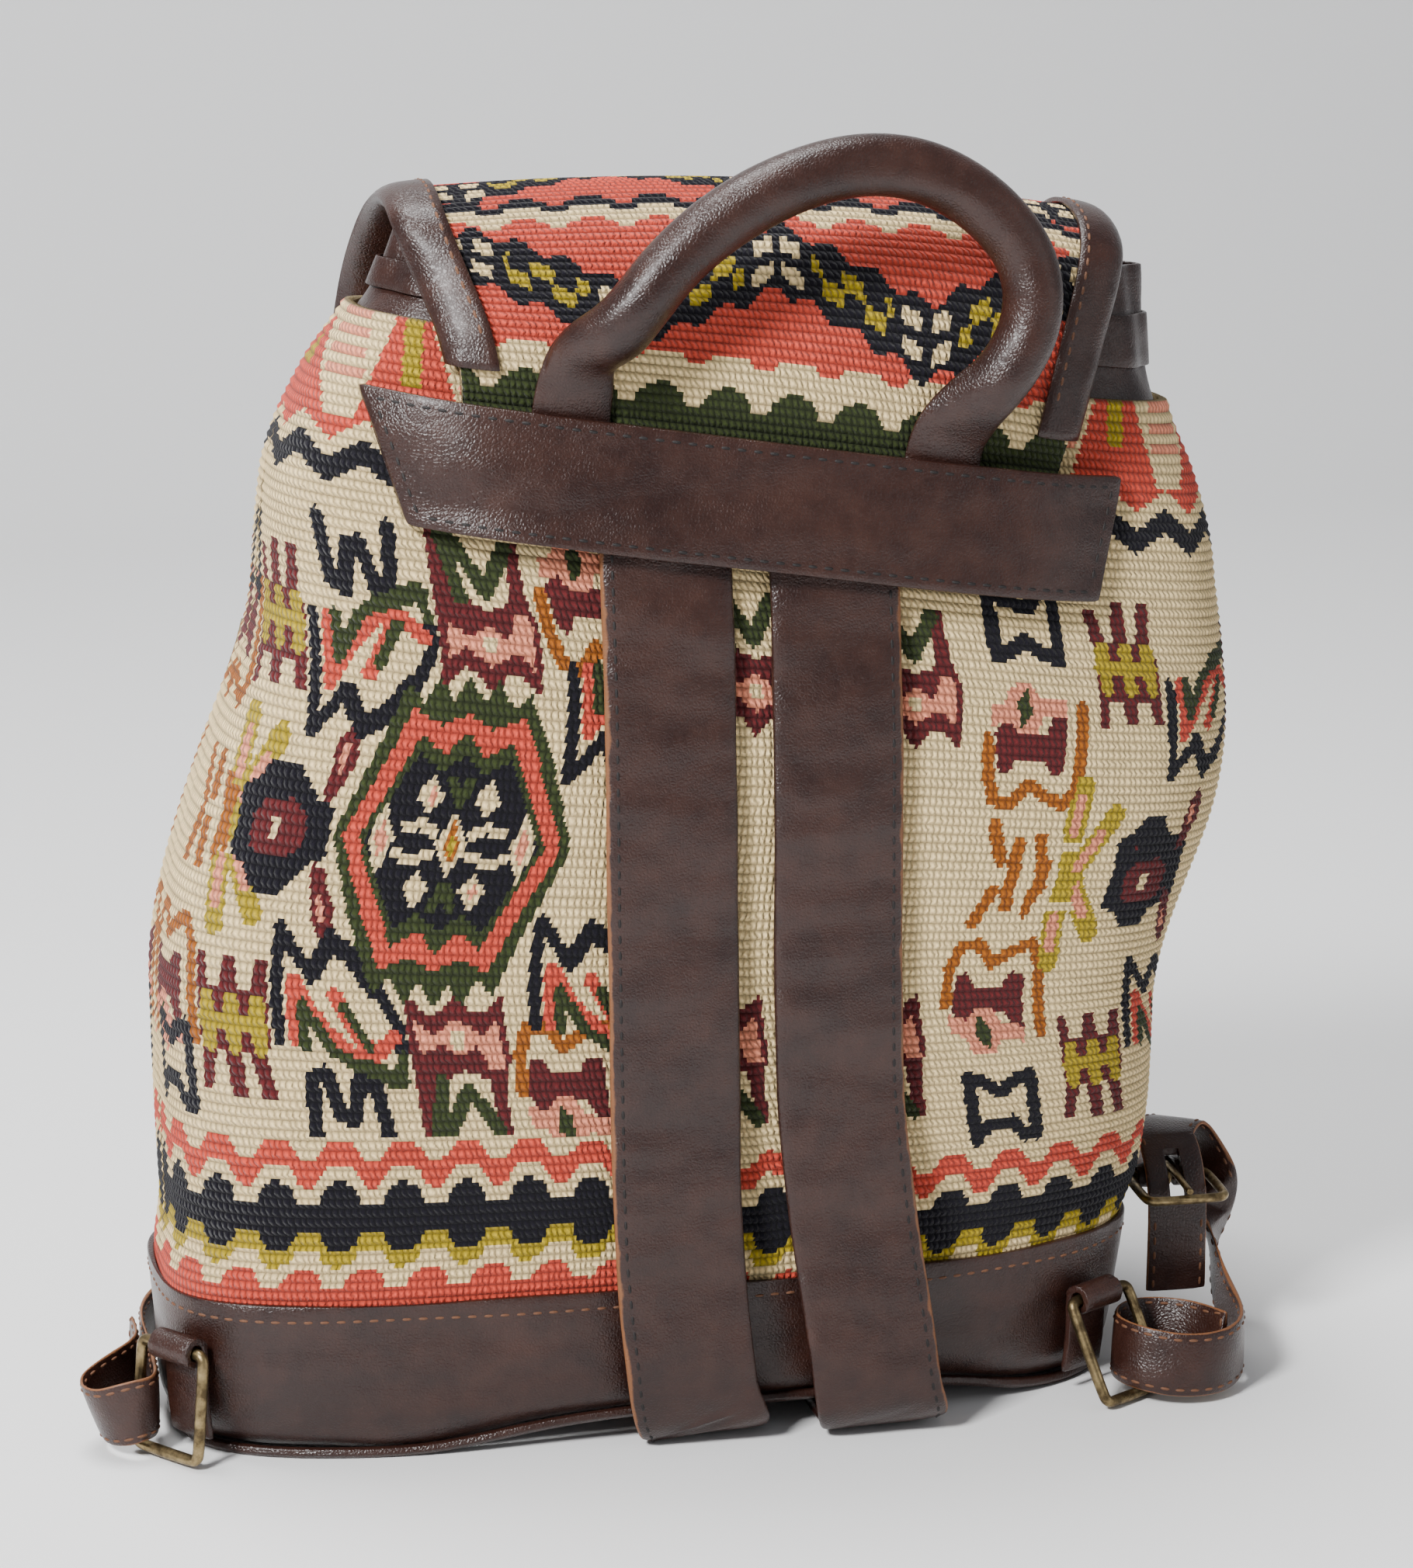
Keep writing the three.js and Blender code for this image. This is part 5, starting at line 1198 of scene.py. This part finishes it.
class BACKPACK_OT_flap(bpy.types.Operator):
    """Weave the flap and the front pocket with its own flap"""

    bl_idname = "backpack.flap"
    bl_label = "Flap and Pocket"

    def execute(self, context):
        sizes = context.scene.backpack_sizes
        build_sheet("flap_cloth", "flap_kilim", flap_path(), flap_half, FLAP_CROWN, FLAP_CENTRE, FLAP_WRAP,
                    flap_dyes, FLAP_COLUMNS, sizes)
        build_sheet("pocket_flap_cloth", "pocket_flap", pocket_flap_path(),
                    lambda share: np.full_like(share, POCKET_HALF_WIDTH - 2), 0, 0, 0.3,
                    lambda across, along: flap_dyes(across, along + 20), 221, sizes)
        build_pocket_panel(sizes)
        return {"FINISHED"}


class BACKPACK_OT_leather(bpy.types.Operator):
    """Dress the leather pieces: base, yoke, handle, collar, bindings and tabs"""

    bl_idname = "backpack.leather"
    bl_label = "Leather Pieces"

    def execute(self, context):
        colours = context.scene.backpack_colours
        leather = dark_leather()
        piping = leather_material("Piping Leather", colours.piping, colours.leather_rubbed, 0.4)
        for node, levels, swell in LEATHER_PIECES:
            material = piping if node == "base_piping" else leather
            dressed(node, material, levels, swell=swell)
        dressed("body_lining", lining_material(), 2)
        dressed("flap_lining", lining_material(), 2)
        return {"FINISHED"}


class BACKPACK_OT_straps(bpy.types.Operator):
    """Dress the padded shoulder straps and the narrow lower straps, and sew along them"""

    bl_idname = "backpack.straps"
    bl_label = "Straps"

    def execute(self, context):
        sizes = context.scene.backpack_sizes
        colours = context.scene.backpack_colours
        threads = {
            "shoulder_strap": (thread_material("Dark Thread", colours.thread_dark), 0.0012, 0.0036, 0.0019),
            "lower_strap": (thread_material("Tan Thread", colours.thread_tan), 0.0009, 0.0018, 0.0007),
        }
        for kind, (thread, low, high, edge_width) in threads.items():
            for side in ("left", "right"):
                node = f"{kind}_{side}"
                lines = chain(strap_lines(node, low, high))
                rolled = []
                if kind == "shoulder_strap":
                    outward = 1 if side == "left" else -1
                    rolled = [line for line in lines if back_lean(line) * outward < 0]
                    lines = [line for line in lines if line not in rolled]
                piece = dressed(node, dark_leather(), 3, 75, 0.00022, edge_width, rolled)
                tree = surface_tree(piece)
                bm = bmesh.new()
                for line in lines:
                    path = np.array([p + way * sizes.strap_margin for p, way in line])
                    stitch_row(bm, tree, path, sizes)
                finish_stitches(f"{node}_stitches", bm, node, thread)
        return {"FINISHED"}


class BACKPACK_OT_seams(bpy.types.Operator):
    """Sew the yoke, the base and the flap's binding"""

    bl_idname = "backpack.seams"
    bl_label = "Seams"

    def execute(self, context):
        sizes = context.scene.backpack_sizes
        colours = context.scene.backpack_colours
        dark = thread_material("Dark Thread", colours.thread_dark)
        tan = thread_material("Tan Thread", colours.thread_tan)
        self.sew_yoke(sizes, dark)
        self.sew_base(sizes, tan)
        self.sew_binding(sizes, tan)
        return {"FINISHED"}

    def sew_yoke(self, sizes, thread):
        """Seam along all four edges of the yoke strip."""
        margin = sizes.yoke_margin / MM
        left = YOKE_CENTRE - YOKE_LENGTH / 2
        right = YOKE_CENTRE + YOKE_LENGTH / 2
        low = YOKE_TOP - YOKE_HEIGHT
        corners = [
            (left + margin * 1.3, YOKE_TOP - margin), (right - margin * 1.2, YOKE_TOP - margin),
            (right - YOKE_SLANTS[1] - margin * 1.2, low + margin),
            (left + YOKE_SLANTS[0] + margin, low + margin),
        ]
        tree = surface_tree(bpy.data.objects["yoke_strip_look"])
        bm = bmesh.new()
        for (ax, az), (bx, bz) in zip(corners, corners[1:] + corners[:1]):
            share = np.linspace(0, 1, 120)
            x = ax + (bx - ax) * share
            z = az + (bz - az) * share
            upright = np.stack([x, -face_depth(x, z) - 12, z], -1)
            path = []
            for p in to_scene(settle(upright)):
                hit = tree.ray_cast(Vector((p[0], p[1] - 0.03, p[2])), Vector((0, 1, 0)))[0]
                if hit is not None:
                    path.append(hit)
            stitch_row(bm, tree, np.array(path), sizes)
        finish_stitches("yoke_stitches", bm, "yoke_strip", thread)

    def sew_base(self, sizes, thread):
        """Seam round the base, below the cloth."""
        tree = surface_tree(bpy.data.objects["base_shell_look"])
        angles = even_angles(-math.pi, math.pi, 900)
        height = np.full_like(angles, BASE_HEIGHT - 5.2)
        path = to_scene(settle(outline(angles, height, LEATHER_WALL)))
        bm = bmesh.new()
        stitch_row(bm, tree, path, sizes)
        finish_stitches("base_stitches", bm, "base_shell", thread)

    def sew_binding(self, sizes, thread):
        """Seam along both sides and the end of the flap."""
        tree = surface_tree(bpy.data.objects["flap_binding_look"])
        bm = bmesh.new()
        rows = 260
        lift = np.full(rows, FLAP_THICKNESS / 2 + 3)
        points = sheet_points(flap_path(), flap_half, FLAP_CROWN, FLAP_CENTRE, FLAP_WRAP,
                              rows, FLAP_COLUMNS, lift)[0]
        inset = int(round(FLAP_COLUMNS * 0.5 * (BINDING_INSIDE - 3) / FLAP_HALVES[1]))
        last = FLAP_COLUMNS - 1
        settled = to_scene(settle(points))
        for column in (inset, last - inset):
            stitch_row(bm, tree, settled[30:, column], sizes)
        end = settled[-int(round((BINDING_INSIDE - 3) * rows / 330)), inset:last - inset]
        stitch_row(bm, tree, end, sizes)
        finish_stitches("binding_stitches", bm, "flap_binding", thread)


class BACKPACK_OT_brass(bpy.types.Operator):
    """Round and patinate the rings, buckles and prongs"""

    bl_idname = "backpack.brass"
    bl_label = "Brass Wire"

    def execute(self, context):
        for side in ("left", "right"):
            for kind in ("ring", "buckle_frame", "buckle_prong"):
                dressed(f"{kind}_{side}", brass_material(), 2, 80)
        return {"FINISHED"}


class BACKPACK_OT_stage(bpy.types.Operator):
    """Set the pale floor, the soft lights and the camera"""

    bl_idname = "backpack.stage"
    bl_label = "Floor, Lights and Camera"

    def execute(self, context):
        self.add_floor(context.scene.backpack_colours)
        self.add_lights(context.scene)
        self.add_camera(context.scene)
        return {"FINISHED"}

    def add_floor(self, colours):
        """Floor that curves up into a backdrop."""
        depth = np.concatenate([[-2.5], 1.6 + 0.8 * np.sin(np.linspace(0, math.pi / 2, 16)), [2.4]])
        rise = np.concatenate([[0], 0.8 - 0.8 * np.cos(np.linspace(0, math.pi / 2, 16)), [3.5]])
        points = [(x, y, z) for y, z in zip(depth, rise) for x in (-4, 4)]
        faces = [(2 * k, 2 * k + 1, 2 * k + 3, 2 * k + 2) for k in range(len(depth) - 1)]
        mesh = bpy.data.meshes.new("floor")
        mesh.from_pydata(points, [], faces)
        mesh.polygons.foreach_set("use_smooth", np.ones(len(mesh.polygons), bool))
        material, w, shader = new_material("Pale Floor")
        place = w.add("ShaderNodeTexCoord").outputs["Object"]
        tone = w.times(w.noise(place, 3.0), 0.02)
        base = linear(colours.floor)
        w.feed(shader["Base Color"], w.mix(tone, base, (0.6, 0.6, 0.6, 1)))
        shader["Roughness"].default_value = 0.85
        mesh.materials.append(material)
        floor = bpy.data.objects.new("floor", mesh)
        bpy.context.scene.collection.objects.link(floor)

    def add_lights(self, scene):
        """Pale sky and three soft lights."""
        world = bpy.data.worlds.new("Soft Studio")
        world.use_nodes = True
        background = world.node_tree.nodes["Background"].inputs
        background["Color"].default_value = (0.93, 0.95, 1.0, 1)
        background["Strength"].default_value = 0.36
        scene.world = world
        for name, place, size, energy in LIGHTS:
            data = bpy.data.lights.new(name, "AREA")
            data.size = size
            data.energy = energy
            light = bpy.data.objects.new(name, data)
            light.location = place
            aim = Vector((0, 0, 0.2)) - light.location
            light.rotation_euler = aim.to_track_quat("-Z", "Y").to_euler()
            scene.collection.objects.link(light)

    def add_camera(self, scene):
        """Camera at the place from which the photo was taken."""
        azimuth, elevation, distance = math.radians(-13), math.radians(13), 1.5
        back = Vector((math.sin(azimuth) * math.cos(elevation), -math.cos(azimuth) * math.cos(elevation),
                       math.sin(elevation)))
        target = Vector(to_scene(np.array([12.4, -20.0, 207.6])))
        data = bpy.data.cameras.new("camera")
        focal_pixels, image_height = 6000, 2020
        data.sensor_width = 36
        data.lens = data.sensor_width * focal_pixels / image_height
        camera = bpy.data.objects.new("camera", data)
        camera.location = target + back * distance
        camera.rotation_euler = (-back).to_track_quat("-Z", "Y").to_euler()
        scene.collection.objects.link(camera)
        scene.camera = camera


class BACKPACK_PT_panel(bpy.types.Panel):
    """Sizes, colours and steps of the backpack"""

    bl_label = "Woven Backpack"
    bl_idname = "BACKPACK_PT_panel"
    bl_space_type = "VIEW_3D"
    bl_region_type = "UI"
    bl_category = "Backpack"

    def draw(self, context):
        column = self.layout.column()
        for group in (context.scene.backpack_sizes, context.scene.backpack_colours):
            for name in group.__annotations__:
                column.prop(group, name)
        for step in STEPS:
            column.operator(step.bl_idname)


STEPS = (
    BACKPACK_OT_stage, BACKPACK_OT_body, BACKPACK_OT_flap, BACKPACK_OT_leather, BACKPACK_OT_straps,
    BACKPACK_OT_seams, BACKPACK_OT_brass,
)
CLASSES = (BackpackSizes, BackpackColours, *STEPS, BACKPACK_PT_panel)


def register():
    for cls in CLASSES:
        bpy.utils.register_class(cls)
    bpy.types.Scene.backpack_sizes = bpy.props.PointerProperty(type=BackpackSizes)
    bpy.types.Scene.backpack_colours = bpy.props.PointerProperty(type=BackpackColours)


def unregister():
    del bpy.types.Scene.backpack_sizes
    del bpy.types.Scene.backpack_colours
    for cls in reversed(CLASSES):
        bpy.utils.unregister_class(cls)


def main():
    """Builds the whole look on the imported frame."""
    register()
    bpy.ops.backpack.stage()
    bpy.ops.backpack.body()
    bpy.ops.backpack.flap()
    bpy.ops.backpack.leather()
    bpy.ops.backpack.straps()
    bpy.ops.backpack.seams()
    bpy.ops.backpack.brass()


if __name__ == "__main__":
    main()
